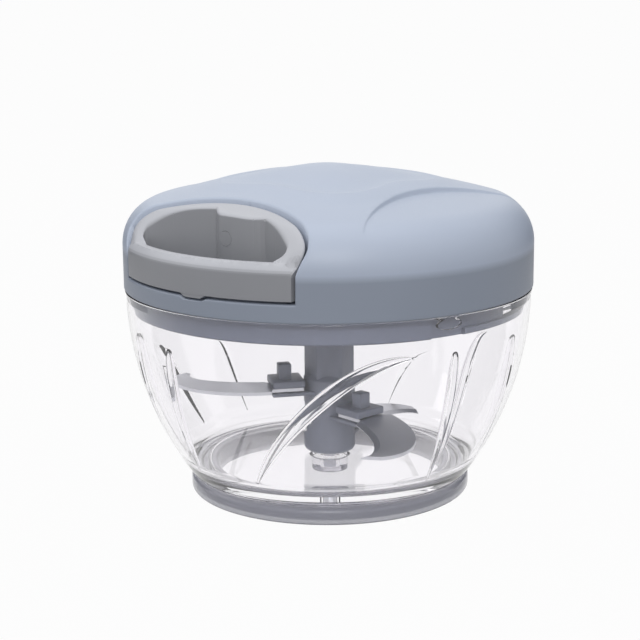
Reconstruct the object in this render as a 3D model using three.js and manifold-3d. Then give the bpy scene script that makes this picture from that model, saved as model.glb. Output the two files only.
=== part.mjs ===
// Pull-cord food chopper: clear bowl on a soft foot ring, three-bladed rotor, and a domed
// lid that holds a sprung cord spool, a one-way drive and a finger-loop handle.
// Millimetres, +Z up, origin at the bottom centre. The handle faces -Y.
import * as THREE from 'three';
import { mergeVertices } from 'three/addons/utils/BufferGeometryUtils.js';
import Module from 'manifold-3d';

const wasm = await Module();
wasm.setup();

// Facet counts
const ringSides = 52;
const tubeSides = 20;
const wheelSides = 36;
const pinSides = 12;
const outerArcSteps = 6;
const innerArcSteps = 3;
const bowlArcSteps = 5;
const ribSteps = 7;
const scallopSteps = 20;
const capSteps = 48;
const cornerSteps = 4;
const rearSteps = 12;
const slotSteps = 6;
const eyeSteps = 10;
const cordSides = 8;
const cordSteps = 16;
const windingSides = 6;
const loopSteps = 24;
const springSteps = 16;

// Overall size and shared allowances
const overallDiameter = 125;
const bowlRimHeight = 63.7;
const lidRise = 36;
const overrun = 2;
const runningGap = 0.4;
const seatGap = 0.2;
const restGap = 0.3;

// Bowl
const rimInset = 0.5;
const bowlWall = 1.8;
const bowlBow = 120;
const bowlHipRadius = 43.6;
const bowlHipHeight = 6.5;
const ledgeInset = 1.6;
const ledgeDrop = 1.3;
const footInset = 1.4;
const bowlFloorHeight = 9.6;
const bowlFloorThickness = 2;
const bowlCornerRadius = 4;
const footWall = 2.2;
const footBottom = 1.5;
const pinBossRadius = 5.7;
const pinBossLift = 0.7;
const pinSeatRadius = 5;
const pinSeatHeight = 0.5;
const ribProud = 1.8;
const ribHalfWidth = 1.2;
const ribRoot = 0.9;
const ribFootRise = 3.4;
const ribTopDrop = 4.5;
const lugHalfWidth = 4.1;
const lugHalfHeight = 1.7;
const lugProud = 1.5;

// Soft foot ring under the bowl
const ringWall = 2.5;
const ringLipReach = 4.1;
const ringLipThickness = 1.2;
const ringHeight = 4.9;
const ringRound = 1.2;

// Pivot pin in the bowl's floor
const pinRadius = 2;
const pinSocketSkin = 1.2;
const pinRise = 17.4;

// Rotor
const shaftLift = 1.1;
const shaftRadius = 8;
const shaftRound = 1.6;
const shaftNeckRise = 24.4;
const shaftNeckLength = 2;
const columnRadius = 7.8;
const headRadius = 6.4;
const dogProud = 2.2;
const armLength = 10.8;
const armWidth = 11;
const armThickness = 1.2;
const clipThickness = 2.3;
const clipStart = 0.6;
const pegSize = 4;
const pegHeight = 4.6;
const pegInset = 4.5;
const rivetRadius = 1.2;
const bladeThickness = 1;
const bladeTangInset = 1;
const bladeWidth = 14.4;
const bladeShoulder = 0.5;
const bladeBevel = 1.8;
const bladeTipGap = 6.2;
const upperBladeRise = 21.8;
const middleBladeRise = 14.4;
const lowerBladeRise = 5;
const middleBladeDroop = 3.5;

// Lid shell
const lidWall = 2.2;
const crownRadius = 185;
const capRise = 2.4;
const capCrownRadius = 120;
const capRadius = 29.2;
const capWave = 3.6;
const shoulderRadius = 16;
const lipWall = 1.3;
const scallopLength = 29.2;
const scallopBow = 75;
const scallopDepth = 1.6;
const scallopRimInset = 2.5;
const bossRadius = 3.6;
const bossInset = 15.5;
const axleBossRadius = 6.5;

// Lid base with the bayonet skirt
const baseThickness = 2;
const skirtDrop = 8.2;
const skirtThickness = 3.3;
const neckInset = 1.4;
const neckDrop = 2;
const grooveDepth = 1.3;
const grooveHeight = 4.4;
const collarWall = 2;
const collarDrop = 3.2;
const sealThickness = 1.4;

// Handle and the recess that it sits in
const recessDepth = 23.1;
const recessBow = 62;
const recessCorner = 7;
const recessFloorThickness = 1.5;
const recessWall = 1.8;
const handleGap = 0.8;
const handleLift = 0.7;
const handleHalfWidth = 31.6;
const handleFlare = 2;
const flareStart = 6.6;
const flareEnd = 14;
const handleDrop = 1.1;
const gripHeight = 10.2;
const gripRound = 3.4;
const gripWall = 4;
const gripShoulder = 9;
const gripSlopeRun = 6.5;
const gripSlopeRise = 5.5;
const rearWall = 4.2;
const endWall = 4.2;
const cordBossHalfWidth = 5.5;
const cordBossProud = 4.2;
const cordBossSpread = 3;
const tabDrop = 1;
const tabDepth = 3.4;
const tabGap = 0.3;

// Cord, eyelet and knot
const cordRadius = 0.9;
const cordOffset = 2;
const cordLoopGap = 0.5;
const eyeletBore = 1.5;
const eyeletWall = 1.1;
const eyeletLip = 1.2;
const eyeletFlangeThickness = 1;
const knotRadius = 2;
const plugThickness = 1.2;

// One-way drive
const driveTubeWall = 1.8;
const driveTubeReach = 15.7;
const socketRoof = 2.1;
const driveFlangeThickness = 1.8;
const driveFlangeRadius = 16.5;
const pawlPinRadius = 1.3;
const pawlEyeWall = 1.2;
const pawlThickness = 2.2;
const pawlTipBite = 0.5;
const pawlTipWidth = 1;
const ratchetTipRadius = 13.4;
const ratchetDepth = 2;
const ratchetWall = 2.2;
const ratchetHeight = 2.8;

// Spool, spring and axle
const spoolWebThickness = 2.4;
const spoolFlangeThickness = 2.8;
const spoolFlangeProud = 6.1;
const spoolTopFlange = 1.3;
const drumRadius = 16.9;
const drumWall = 2;
const anchorDepth = 1.9;
const anchorWidth = 2.4;
const axleRadius = 2.5;
const axleCover = 3;
const axleBossGap = 0.6;
const washerRadius = 5.5;
const washerThickness = 0.7;
const screwRadius = 1.2;
const screwHeadRadius = 2.9;
const screwHeadHeight = 1.3;
const screwLength = 12;
const axleScrewLength = 6;
const springStrip = 0.5;
const springRoom = 2;
const coverThickness = 1;
const coverInset = 2;
const coverLip = 1;

// Angles in degrees, from the front (-Y) towards the right (+X)
const bladeAngles = [-38, 82, 202];
const bladeSweep = 27;
const columnTurn = 10;
const lugAngles = [73.3, 253.3];
const entryHalfAngle = 5.5;
const windowStart = 98;
const windowEnd = 111;
const scallopAngles = [90, 180, 270];
const scallopSpread = 55;
const bossAngles = [62, 180, 298];
const tabHalfAngle = 5;
const tabNotchPlay = 0.5;
const capTurn = 45;
const dogHalfAngle = 10;
const pawlPivotAngle = -16;
const pawlTipAngle = 24;
const ratchetFace = 2;
// Each rib's angle at its foot and how far it sweeps on its way up
const ribSweeps = [[13, 49], [-30, 4], [-73, 6], [-103, 5], [80, 6], [111, -6], [188, -7]];

// Counts
const cordLoops = 3;
const springTurns = 6;
const ratchetTeeth = 12;
const dogCount = 3;
const columnSides = 6;
const capCorners = 4;

// Blade half widths, from the clip's end to the tip, as shares of the half width at the root
const bladeWidthShares = [1, 1.02, 0.98, 0.9, 0.78, 0.62, 0.42];
const edgeShare = 0.25;
const bladeCurlShare = 1.3;
const ribTopShare = 0.5;
const ribSpanShares = [0.05, 0.95];

// Heights that follow from the sizes above, from the foot up
const footRadius = bowlHipRadius - ledgeInset - footInset;
const bowlLedgeHeight = bowlHipHeight - ledgeDrop;
const pinBossBottom = footBottom + pinBossLift;
const pinSocketFloor = pinBossBottom + pinSocketSkin;
const pinTop = bowlFloorHeight + pinRise;
const shaftBottom = bowlFloorHeight + shaftLift;
const shaftNeckBottom = bowlFloorHeight + shaftNeckRise;
const shaftNeckTop = shaftNeckBottom + shaftNeckLength;
const lidEdge = bowlRimHeight + restGap;
const baseBottom = lidEdge + sealThickness + restGap;
const baseTop = baseBottom + baseThickness;
const skirtBottom = baseBottom - skirtDrop;
const neckBottom = baseBottom - neckDrop;
const grooveBottom = neckBottom - grooveHeight;
const lugHeight = (neckBottom + grooveBottom) / 2;
const collarBottom = baseBottom - collarDrop;
const ribFootHeight = bowlFloorHeight + ribFootRise;
const ribTopHeight = skirtBottom - ribTopDrop;
const recessFloor = baseTop + restGap + recessFloorThickness;
const handleBottom = recessFloor + handleLift;
const flareBottom = handleBottom + flareStart;
const flareTop = handleBottom + flareEnd;
const gripTop = handleBottom + gripHeight;
const driveTubeBottom = baseBottom - driveTubeReach;
const driveFlangeBottom = baseTop + runningGap;
const driveFlangeTop = driveFlangeBottom + driveFlangeThickness;
const socketTop = driveFlangeBottom - socketRoof;
const headTop = socketTop - restGap * 2;
const columnTop = driveTubeBottom - restGap;
const ratchetBottom = driveFlangeTop + restGap;
const spoolWebBottom = ratchetBottom + ratchetHeight;
const spoolWebTop = spoolWebBottom + spoolWebThickness;
const grooveLow = spoolWebBottom + spoolFlangeThickness;
const loopPitch = 2 * cordRadius + cordLoopGap;
const windingBottom = grooveLow + seatGap + cordRadius;
const cordHeight = windingBottom + cordLoops * loopPitch;
const grooveHigh = cordHeight + cordRadius + seatGap;
const spoolTop = grooveHigh + spoolTopFlange;
const coverBottom = spoolTop + seatGap;
const axleBossBottom = coverBottom + coverThickness + axleBossGap;
const overallHeight = lidEdge + lidRise;
const crownTop = overallHeight - capRise;
const axleBottom = spoolWebBottom - seatGap;
const axleTop = crownTop - axleCover;

// Radii and reaches that follow from the sizes above
const lidRadius = overallDiameter / 2;
const bowlRimRadius = lidRadius - rimInset;
const rebateRadius = lidRadius - lipWall;
const baseRadius = rebateRadius - restGap;
const armReach = shaftRadius + armLength;
const clipRadius = shaftRadius + clipStart;
const pegPlace = armReach - pegInset;
const bladeRoot = clipRadius + seatGap * 2;
const bladeTang = armWidth - 2 * bladeTangInset;
const dogRadius = headRadius + dogProud;
const driveTubeBore = dogRadius + runningGap;
const driveTubeRadius = driveTubeBore + driveTubeWall;
const bossPlace = lidRadius - bossInset;
const scallopReach = lidRadius - scallopLength;
const scallopRim = lidRadius - scallopRimInset;
const recessReach = lidRadius - recessDepth;
const recessRear = recessReach - handleGap - recessWall;
const eyeletRadius = eyeletBore + eyeletWall;
const eyeletFlange = eyeletRadius + eyeletLip;
const eyeletMouth = recessRear - seatGap - eyeletFlangeThickness;
const knotPocketRadius = knotRadius + runningGap;
const bossFace = recessReach + rearWall + cordBossProud;
const knotCentre = bossFace - plugThickness - seatGap - knotRadius;
const pawlEyeRadius = pawlPinRadius + seatGap + pawlEyeWall;
const pawlPivotPlace = washerRadius + pawlEyeRadius + seatGap * 2;
const pawlTipReach = ratchetTipRadius + pawlTipBite;
const ratchetRadius = ratchetTipRadius + ratchetDepth + ratchetWall;
const spoolFlangeRadius = drumRadius + spoolFlangeProud;
const chamberRadius = drumRadius - drumWall;
const coverRadius = spoolFlangeRadius - coverInset;
const windingRadius = drumRadius + seatGap + cordRadius;

const rad = THREE.MathUtils.degToRad;

// Geometry helpers
function around(radius, degrees, z) {
  return new THREE.Vector3(radius * Math.sin(rad(degrees)), -radius * Math.cos(rad(degrees)), z);
}

function flat(radius, degrees) {
  const point = around(radius, degrees, 0);
  return [point.x, point.y];
}

function arc(centreA, centreB, radius, from, to, steps) {
  const points = [];
  for (let i = 0; i <= steps; i += 1) {
    const angle = from + ((to - from) * i) / steps;
    points.push([centreA + radius * Math.cos(angle), centreB + radius * Math.sin(angle)]);
  }
  return points;
}

function volumeOf(position, index) {
  const a = new THREE.Vector3();
  const b = new THREE.Vector3();
  const c = new THREE.Vector3();
  let sum = 0;
  for (let i = 0; i < index.length; i += 3) {
    a.fromBufferAttribute(position, index[i]);
    b.fromBufferAttribute(position, index[i + 1]);
    c.fromBufferAttribute(position, index[i + 2]);
    sum += a.dot(b.cross(c));
  }
  return sum;
}

// Merges shared vertices, drops collapsed triangles and turns all faces outwards.
function closed(geometry) {
  const bare = geometry.clone();
  bare.deleteAttribute('normal');
  bare.deleteAttribute('uv');
  const merged = mergeVertices(bare);
  const source = merged.index.array;
  const index = [];
  for (let i = 0; i < source.length; i += 3) {
    const [a, b, c] = [source[i], source[i + 1], source[i + 2]];
    if (a !== b && b !== c && c !== a) {
      index.push(a, b, c);
    }
  }
  if (volumeOf(merged.attributes.position, index) < 0) {
    index.reverse();
  }
  const result = new THREE.BufferGeometry();
  result.setAttribute('position', merged.attributes.position);
  result.setIndex(index);
  return result;
}

function solid(geometry) {
  const body = closed(geometry);
  return new wasm.Manifold(new wasm.Mesh({
    numProp: 3,
    vertProperties: new Float32Array(body.attributes.position.array),
    triVerts: new Uint32Array(body.index.array),
  }));
}

function meshed(shape) {
  const mesh = shape.getMesh();
  const geometry = new THREE.BufferGeometry();
  geometry.setAttribute('position', new THREE.BufferAttribute(mesh.vertProperties, mesh.numProp));
  geometry.setIndex(new THREE.BufferAttribute(mesh.triVerts, 1));
  return geometry;
}

function join(first, ...others) {
  return others.reduce((sum, other) => sum.add(other), first);
}

function cut(first, ...others) {
  return others.reduce((rest, other) => rest.subtract(other), first);
}

function turned(profile, sides) {
  const points = profile.map(([radius, z]) => new THREE.Vector2(radius, z));
  return new THREE.LatheGeometry(points, sides).rotateX(Math.PI / 2);
}

function ringed(profile, sides) {
  return turned([...profile, profile[0]], sides);
}

function disc(radius, low, high, sides) {
  return turned([[0, low], [radius, low], [radius, high], [0, high]], sides);
}

function prism(outline, low, high, holes = []) {
  const shape = new THREE.Shape(outline.map(([x, y]) => new THREE.Vector2(x, y)));
  for (const hole of holes) {
    shape.holes.push(new THREE.Path(hole.map(([x, y]) => new THREE.Vector2(x, y))));
  }
  const options = { depth: high - low, bevelEnabled: false, curveSegments: 1 };
  return new THREE.ExtrudeGeometry(shape, options).translate(0, 0, low);
}

// Closed body through rings of points that all have the same count
function loft(rings) {
  const count = rings[0].length;
  const positions = rings.flat().flatMap((point) => [point.x, point.y, point.z]);
  const index = [];
  for (let ring = 0; ring + 1 < rings.length; ring += 1) {
    for (let i = 0; i < count; i += 1) {
      const a = ring * count + i;
      const b = ring * count + ((i + 1) % count);
      index.push(a, b, b + count, a, b + count, a + count);
    }
  }
  const ends = [[rings[0], 0], [rings[rings.length - 1], (rings.length - 1) * count]];
  for (const [ring, offset] of ends) {
    const outline = flattened(ring);
    for (const [a, b, c] of THREE.ShapeUtils.triangulateShape(outline, [])) {
      if (offset === 0) {
        index.push(a, c, b);
      } else {
        index.push(a + offset, b + offset, c + offset);
      }
    }
  }
  const geometry = new THREE.BufferGeometry();
  geometry.setAttribute('position', new THREE.Float32BufferAttribute(positions, 3));
  geometry.setIndex(index);
  return geometry;
}

// A ring's points in its own plane, with the turning sense kept
function flattened(ring) {
  const centre = ring.reduce((sum, point) => sum.add(point), new THREE.Vector3()).divideScalar(ring.length);
  const u = ring[0].clone().sub(centre).normalize();
  const normal = new THREE.Vector3();
  ring.forEach((point, i) => {
    const next = ring[(i + 1) % ring.length];
    normal.add(point.clone().sub(centre).cross(next.clone().sub(centre)));
  });
  const v = normal.normalize().cross(u);
  return ring.map((point) => {
    const offset = point.clone().sub(centre);
    return new THREE.Vector2(offset.dot(u), offset.dot(v));
  });
}

// Round tube through a list of points, with each ring square to the path
function tube(points, radius, sides) {
  const rings = points.map((point, i) => {
    const before = points[Math.max(i - 1, 0)];
    const after = points[Math.min(i + 1, points.length - 1)];
    const along = after.clone().sub(before).normalize();
    const u = new THREE.Vector3(0, 0, 1).cross(along).normalize();
    const v = along.clone().cross(u);
    const ring = [];
    for (let side = 0; side < sides; side += 1) {
      const angle = (2 * Math.PI * side) / sides;
      const spoke = u.clone().multiplyScalar(radius * Math.cos(angle));
      ring.push(point.clone().add(spoke).addScaledVector(v, radius * Math.sin(angle)));
    }
    return ring;
  });
  return loft(rings);
}

function leastGap(points, thickness, skip) {
  let least = Infinity;
  for (let i = 0; i < points.length; i += 1) {
    for (let j = i + skip; j < points.length; j += 1) {
      least = Math.min(least, points[i].distanceTo(points[j]) - thickness);
    }
  }
  return least;
}

// Materials
function plastic(color, roughness) {
  return new THREE.MeshStandardMaterial({ color, roughness, metalness: 0, flatShading: true });
}

function clear(color, roughness, opacity) {
  return new THREE.MeshStandardMaterial({ color, roughness, metalness: 0, transparent: true, opacity });
}

function metal(color, roughness) {
  return new THREE.MeshStandardMaterial({ color, roughness, metalness: 1, flatShading: true });
}

const lidBlue = () => plastic(0xb3bccb, 0.55);
const skirtBlue = () => plastic(0x8a92a6, 0.55);
const handleGrey = () => plastic(0xb0aeab, 0.5);
const rotorGrey = () => plastic(0x6d727c, 0.45);
const innerWhite = () => plastic(0xd9dadb, 0.5);
const bowlClear = () => clear(0xf2f5f7, 0.06, 0.3);
const softClear = () => clear(0xdfe2e4, 0.35, 0.55);
const steel = () => metal(0xc3c5c9, 0.25);
const springSteel = () => metal(0x8f959d, 0.35);
const cordWhite = () => plastic(0xe6e6e2, 0.85);

const chopper = new THREE.Group();

function piece(name, shape, material) {
  const geometry = shape.isBufferGeometry ? closed(shape) : meshed(shape);
  const mesh = new THREE.Mesh(geometry, material);
  mesh.name = name;
  chopper.add(mesh);
  return mesh;
}

// Bowl
const bowSpan = new THREE.Vector2(bowlRimRadius - bowlHipRadius, bowlRimHeight - bowlHipHeight);
const bowHalf = bowSpan.length() / 2;
const bowDepth = Math.sqrt(bowlBow * bowlBow - bowHalf * bowHalf);
const bowAlong = bowSpan.clone().normalize();
const bowCentreRadius = (bowlRimRadius + bowlHipRadius) / 2 - bowAlong.y * bowDepth;
const bowCentreHeight = (bowlRimHeight + bowlHipHeight) / 2 + bowAlong.x * bowDepth;

// Radius of the bowl's wall at a height, some way in from its outer face
function wallRadius(z, inset) {
  const rise = z - bowCentreHeight;
  return bowCentreRadius + Math.sqrt((bowlBow - inset) ** 2 - rise * rise);
}

function wallCurve(low, high, inset, steps) {
  const points = [];
  for (let i = 0; i <= steps; i += 1) {
    const z = low + ((high - low) * i) / steps;
    points.push([wallRadius(z, inset), z]);
  }
  return points;
}

function bowlProfile() {
  const cornerTop = bowlFloorHeight + bowlCornerRadius;
  const cornerRadius = wallRadius(cornerTop, bowlWall);
  const cornerCentre = cornerRadius - bowlCornerRadius;
  const corner = arc(cornerCentre, cornerTop, bowlCornerRadius, 0, -Math.PI / 2, innerArcSteps);
  const socketRadius = pinRadius + seatGap;
  return [
    [0, pinBossBottom],
    [pinBossRadius, pinBossBottom],
    [pinBossRadius, bowlFloorHeight - bowlFloorThickness],
    [footRadius - footWall, bowlFloorHeight - bowlFloorThickness],
    [footRadius - footWall, footBottom],
    [footRadius, footBottom],
    [footRadius, bowlLedgeHeight],
    [bowlHipRadius - ledgeInset, bowlLedgeHeight],
    ...wallCurve(bowlHipHeight, bowlRimHeight, 0, bowlArcSteps),
    ...wallCurve(cornerTop, bowlRimHeight, bowlWall, bowlArcSteps).reverse(),
    ...corner.slice(1),
    [pinSeatRadius, bowlFloorHeight],
    [pinSeatRadius, bowlFloorHeight + pinSeatHeight],
    [socketRadius, bowlFloorHeight + pinSeatHeight],
    [socketRadius, pinSocketFloor],
    [0, pinSocketFloor],
  ];
}

// Raised rib on the inside of the bowl: it climbs fast at first and curls over at its top
function rib(footAngle, sweep) {
  const rings = [];
  for (let i = 0; i <= ribSteps; i += 1) {
    const share = i / ribSteps;
    const z = ribFootHeight + (ribTopHeight - ribFootHeight) * Math.sin((share * Math.PI) / 2);
    const swell = Math.sqrt(Math.sin(Math.PI * THREE.MathUtils.lerp(...ribSpanShares, share)));
    const degrees = footAngle + sweep * share;
    const outer = wallRadius(z, bowlWall - ribRoot);
    const inner = wallRadius(z, bowlWall) - ribProud * swell;
    const spread = THREE.MathUtils.radToDeg((ribHalfWidth * swell) / outer);
    rings.push([
      around(outer, degrees - spread, z),
      around(inner, degrees - spread * ribTopShare, z),
      around(inner, degrees + spread * ribTopShare, z),
      around(outer, degrees + spread, z),
    ]);
  }
  return loft(rings);
}

function lug(degrees) {
  const inner = wallRadius(lugHeight, bowlWall) - lugProud;
  const outer = wallRadius(lugHeight, bowlWall / 2);
  const pad = new THREE.CylinderGeometry(lugHalfWidth, lugHalfWidth, outer - inner, tubeSides);
  pad.scale(1, 1, lugHalfHeight / lugHalfWidth);
  pad.translate(0, -(inner + outer) / 2, lugHeight);
  return pad.rotateZ(rad(degrees));
}

function makeBowl() {
  const ribs = ribSweeps.map(([footAngle, sweep]) => solid(rib(footAngle, sweep)));
  const lugs = lugAngles.map((degrees) => solid(lug(degrees)));
  return join(solid(turned(bowlProfile(), ringSides)), ...ribs, ...lugs);
}

piece('bowl', makeBowl(), bowlClear());

// Soft foot ring: a lip under the bowl's foot and a wall around it
const footRingInner = footRadius + seatGap;
const footRingOuter = footRingInner + ringWall;
piece('foot_ring', ringed([
  [footRadius - ringLipReach, 0],
  [footRingOuter, 0],
  [footRingOuter, ringHeight - ringRound],
  [footRingOuter - ringRound, ringHeight],
  [footRingInner, ringHeight],
  [footRingInner, ringLipThickness],
  [footRadius - ringLipReach, ringLipThickness],
], ringSides), softClear());

piece('pivot_pin', disc(pinRadius, pinSocketFloor + seatGap, pinTop, pinSides), steel());

// Rotor: shaft with its arms, then each blade and the clip that holds it down
const shaftBore = pinRadius + seatGap;
const dogWidth = 2 * headRadius * Math.tan(rad(dogHalfAngle));
const blades = [
  { angle: bladeAngles[0], rise: upperBladeRise, droop: 0 },
  { angle: bladeAngles[1], rise: middleBladeRise, droop: middleBladeDroop },
  { angle: bladeAngles[2], rise: lowerBladeRise, droop: 0 },
].map(({ angle, rise, droop }) => {
  const height = bowlFloorHeight + rise;
  return { angle, height, droop, reach: wallRadius(height - droop, bowlWall) - bladeTipGap };
});

function block(from, to, width, low, high, degrees) {
  const box = new THREE.BoxGeometry(width, to - from, high - low);
  box.translate(0, -(from + to) / 2, (low + high) / 2);
  return box.rotateZ(rad(degrees));
}

function post(radius, low, high, place, degrees) {
  return disc(radius, low, high, pinSides).translate(0, -place, 0).rotateZ(rad(degrees));
}

function makeShaft() {
  const body = solid(turned([
    [0, pinTop + seatGap],
    [shaftBore, pinTop + seatGap],
    [shaftBore, shaftBottom],
    [shaftRadius - shaftRound, shaftBottom],
    [shaftRadius, shaftBottom + shaftRound],
    [shaftRadius, shaftNeckBottom],
    [headRadius, shaftNeckTop],
    [headRadius, headTop],
    [0, headTop],
  ], tubeSides));
  const column = solid(disc(columnRadius, shaftNeckBottom, columnTop, columnSides).rotateZ(rad(columnTurn)));
  const arms = blades.map(({ angle, height }) => {
    const top = height - bladeThickness / 2 - seatGap;
    const arm = solid(block(shaftBore + shaftRound, armReach, armWidth, top - armThickness, top, angle));
    const holeLow = top - armThickness - overrun;
    return cut(arm, solid(post(rivetRadius + seatGap, holeLow, top + overrun, pegPlace, angle)));
  });
  const dogs = [];
  for (let i = 0; i < dogCount; i += 1) {
    const dogBottom = driveTubeBottom + runningGap;
    dogs.push(solid(block(headRadius / 2, dogRadius, dogWidth, dogBottom, headTop, (360 * i) / dogCount)));
  }
  return join(body, column, ...arms, ...dogs);
}

// Sickle-shaped blade: a narrow tang under the clip, then a wide blade that sweeps back
function bladeSections(reach) {
  const shoulder = armReach + seatGap;
  const across = new THREE.Vector2(1, 0);
  const sections = [
    { centre: new THREE.Vector2(0, -bladeRoot), across, half: bladeTang / 2, bevel: 0 },
    { centre: new THREE.Vector2(0, -shoulder), across, half: bladeTang / 2, bevel: 0 },
  ];
  const last = bladeWidthShares.length - 1;
  bladeWidthShares.forEach((share, i) => {
    const along = i / last;
    const wideStart = shoulder + bladeShoulder;
    const radius = wideStart + (reach - wideStart) * Math.sin((along * Math.PI) / 2);
    const turn = -bladeSweep * (i === 0 ? 0 : along ** bladeCurlShare);
    sections.push({
      centre: new THREE.Vector2(...flat(radius, turn)),
      across: new THREE.Vector2(...flat(1, turn + 90 - bladeSweep * along)),
      half: (share * bladeWidth) / 2,
      bevel: bladeBevel,
    });
  });
  return sections;
}

function makeBlade({ angle, height, reach, droop }) {
  const rings = bladeSections(reach).map(({ centre, across, half, bevel }) => {
    const share = Math.max(0, (centre.length() - armReach - bladeShoulder) / (reach - armReach));
    const low = height - bladeThickness / 2 - droop * share;
    const edge = low + (bevel > 0 ? bladeThickness * edgeShare : bladeThickness);
    const at = (side, z) => new THREE.Vector3(centre.x + across.x * side, centre.y + across.y * side, z);
    return [
      at(-half, low),
      at(half, low),
      at(half, low + bladeThickness),
      at(-half + bevel, low + bladeThickness),
      at(-half, edge),
    ];
  });
  // The tang has no bevel, so its two upper points share one place
  const narrow = rings.slice(0, 2);
  const wide = rings.slice(2);
  narrow.forEach((ring) => ring[3].lerp(ring[2], edgeShare));
  const holeLow = height - bladeThickness;
  const hole = solid(post(rivetRadius + seatGap, holeLow, height + bladeThickness, pegPlace, 0));
  return cut(solid(loft([...narrow, ...wide])), hole).rotate([0, 0, angle]);
}

function makeClip({ angle, height }) {
  const low = height + bladeThickness / 2 + seatGap;
  const top = low + clipThickness;
  const slab = solid(block(clipRadius, armReach, armWidth, low, top, angle));
  const half = pegSize / 2;
  const peg = solid(block(pegPlace - half, pegPlace + half, pegSize, low + seatGap, top + pegHeight, angle));
  const rivetBottom = height - bladeThickness / 2 - seatGap - armThickness;
  const rivet = solid(post(rivetRadius, rivetBottom, top, pegPlace, angle));
  return join(slab, peg, rivet);
}

piece('blade_shaft', makeShaft(), rotorGrey());
blades.forEach((blade, i) => {
  piece(`blade_${i + 1}`, makeBlade(blade), steel());
  piece(`blade_clip_${i + 1}`, makeClip(blade), rotorGrey());
});

// Lid shell
const crownCentre = crownTop - crownRadius;
const shoulderCentreRadius = lidRadius - shoulderRadius;
const shoulderCentreHeight = crownCentre
  + Math.sqrt((crownRadius - shoulderRadius) ** 2 - shoulderCentreRadius ** 2);

// Closed dome, some way in from the lid's outer face, with its top sunk by a rule
function dome(inset, bottom, sink = () => 0) {
  const tangent = Math.atan2(shoulderCentreHeight - crownCentre, shoulderCentreRadius);
  const steps = inset > 0 ? innerArcSteps : outerArcSteps;
  const shoulder = arc(shoulderCentreRadius, shoulderCentreHeight, shoulderRadius - inset, 0, tangent, steps);
  const crown = arc(0, crownCentre, crownRadius - inset, tangent, Math.PI / 2, steps);
  crown[crown.length - 1][0] = 0;
  const top = [...shoulder, ...crown.slice(1)].map(([radius, z]) => [radius, z - sink(radius)]);
  return turned([[0, bottom], [lidRadius - inset, bottom], ...top], ringSides);
}

// Room above a scallop: its floor leaves the dome at the rim and sinks towards the crown
function scallop(degrees, inset) {
  const centre = scallopReach + scallopBow;
  const half = rad(scallopSpread);
  const from = Math.PI / 2 - half;
  const outline = arc(0, -centre, scallopBow + inset, from, from + 2 * half, scallopSteps);
  outline.push([-lidRadius - overrun, -centre], [lidRadius + overrun, -centre]);
  const fall = (radius) => scallopDepth * Math.max(0, (scallopRim - radius) / (scallopRim - scallopReach));
  const floor = solid(dome(inset, lidEdge - overrun, fall));
  const top = overallHeight + overrun;
  return cut(solid(prism(outline, shoulderCentreHeight, top)), floor).rotate([0, 0, degrees]);
}

function capOutline() {
  const outline = [];
  for (let i = 0; i < capSteps; i += 1) {
    const degrees = (360 * i) / capSteps;
    const wave = capWave * Math.cos(rad(capCorners * (degrees - capTurn)));
    outline.push(flat(capRadius + wave, degrees));
  }
  return outline;
}

// Plan of the handle's recess, or of the handle itself where grow is negative
function recessOutline(halfWidth, grow, front) {
  const arcCentre = -(recessReach + recessBow);
  const cornerX = halfWidth - recessCorner;
  const cornerY = arcCentre + Math.sqrt((recessBow - recessCorner) ** 2 - cornerX ** 2);
  const tangent = Math.atan2(cornerY - arcCentre, cornerX);
  const right = arc(cornerX, cornerY, recessCorner + grow, 0, tangent, cornerSteps);
  const rear = arc(0, arcCentre, recessBow + grow, tangent, Math.PI - tangent, rearSteps);
  const left = arc(-cornerX, cornerY, recessCorner + grow, Math.PI - tangent, Math.PI, cornerSteps);
  const side = halfWidth + grow;
  return [[side, -front], ...right, ...rear.slice(1, -1), ...left, [-side, -front]];
}

// Upright body on that plan, which flares out between two heights
function recessBody(grow, low, high) {
  const wide = handleHalfWidth + handleFlare;
  const levels = [[handleHalfWidth, low], [handleHalfWidth, flareBottom], [wide, flareTop], [wide, high]];
  return loft(levels.map(([halfWidth, z]) => recessOutline(halfWidth, grow, lidRadius + overrun)
    .map(([x, y]) => new THREE.Vector3(x, y, z))));
}

function sector(inner, outer, from, to, low, high, steps) {
  const outline = [];
  for (let i = 0; i <= steps; i += 1) {
    outline.push(flat(outer, from + ((to - from) * i) / steps));
  }
  for (let i = steps; i >= 0; i -= 1) {
    outline.push(flat(inner, from + ((to - from) * i) / steps));
  }
  return prism(outline, low, high);
}

// Pin or hole along the cord's line
function alongCord(radius, from, to, sides) {
  return disc(radius, from, to, sides).rotateX(Math.PI / 2).translate(cordOffset, 0, cordHeight);
}

// Raised cap on the crown, with a rounder top than the dome has
function cap() {
  const reach = capRadius + capWave;
  const half = Math.asin(reach / capCrownRadius);
  const centre = overallHeight - capCrownRadius;
  const crown = arc(0, centre, capCrownRadius, Math.PI / 2 - half, Math.PI / 2, outerArcSteps);
  crown[crown.length - 1][0] = 0;
  const top = turned([[0, shoulderCentreHeight], [reach, shoulderCentreHeight], ...crown], ringSides);
  return solid(top).intersect(solid(prism(capOutline(), shoulderCentreHeight, overallHeight + overrun)));
}

// Walls around the handle's recess, before they are trimmed to the dome
function pocketSkin() {
  const low = recessFloor - recessFloorThickness;
  return solid(recessBody(handleGap + recessWall, low, overallHeight + overrun));
}

function tabNotch() {
  const half = tabHalfAngle + tabNotchPlay;
  const inner = lidRadius - tabDepth - tabGap;
  const low = handleBottom - tabDrop - tabGap;
  return solid(sector(inner, lidRadius + overrun, -half, half, low, recessFloor + overrun, innerArcSteps));
}

function screwHoles(low, high) {
  return bossAngles.map((degrees) => solid(post(screwRadius + seatGap, low, high, bossPlace, degrees)));
}

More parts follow.
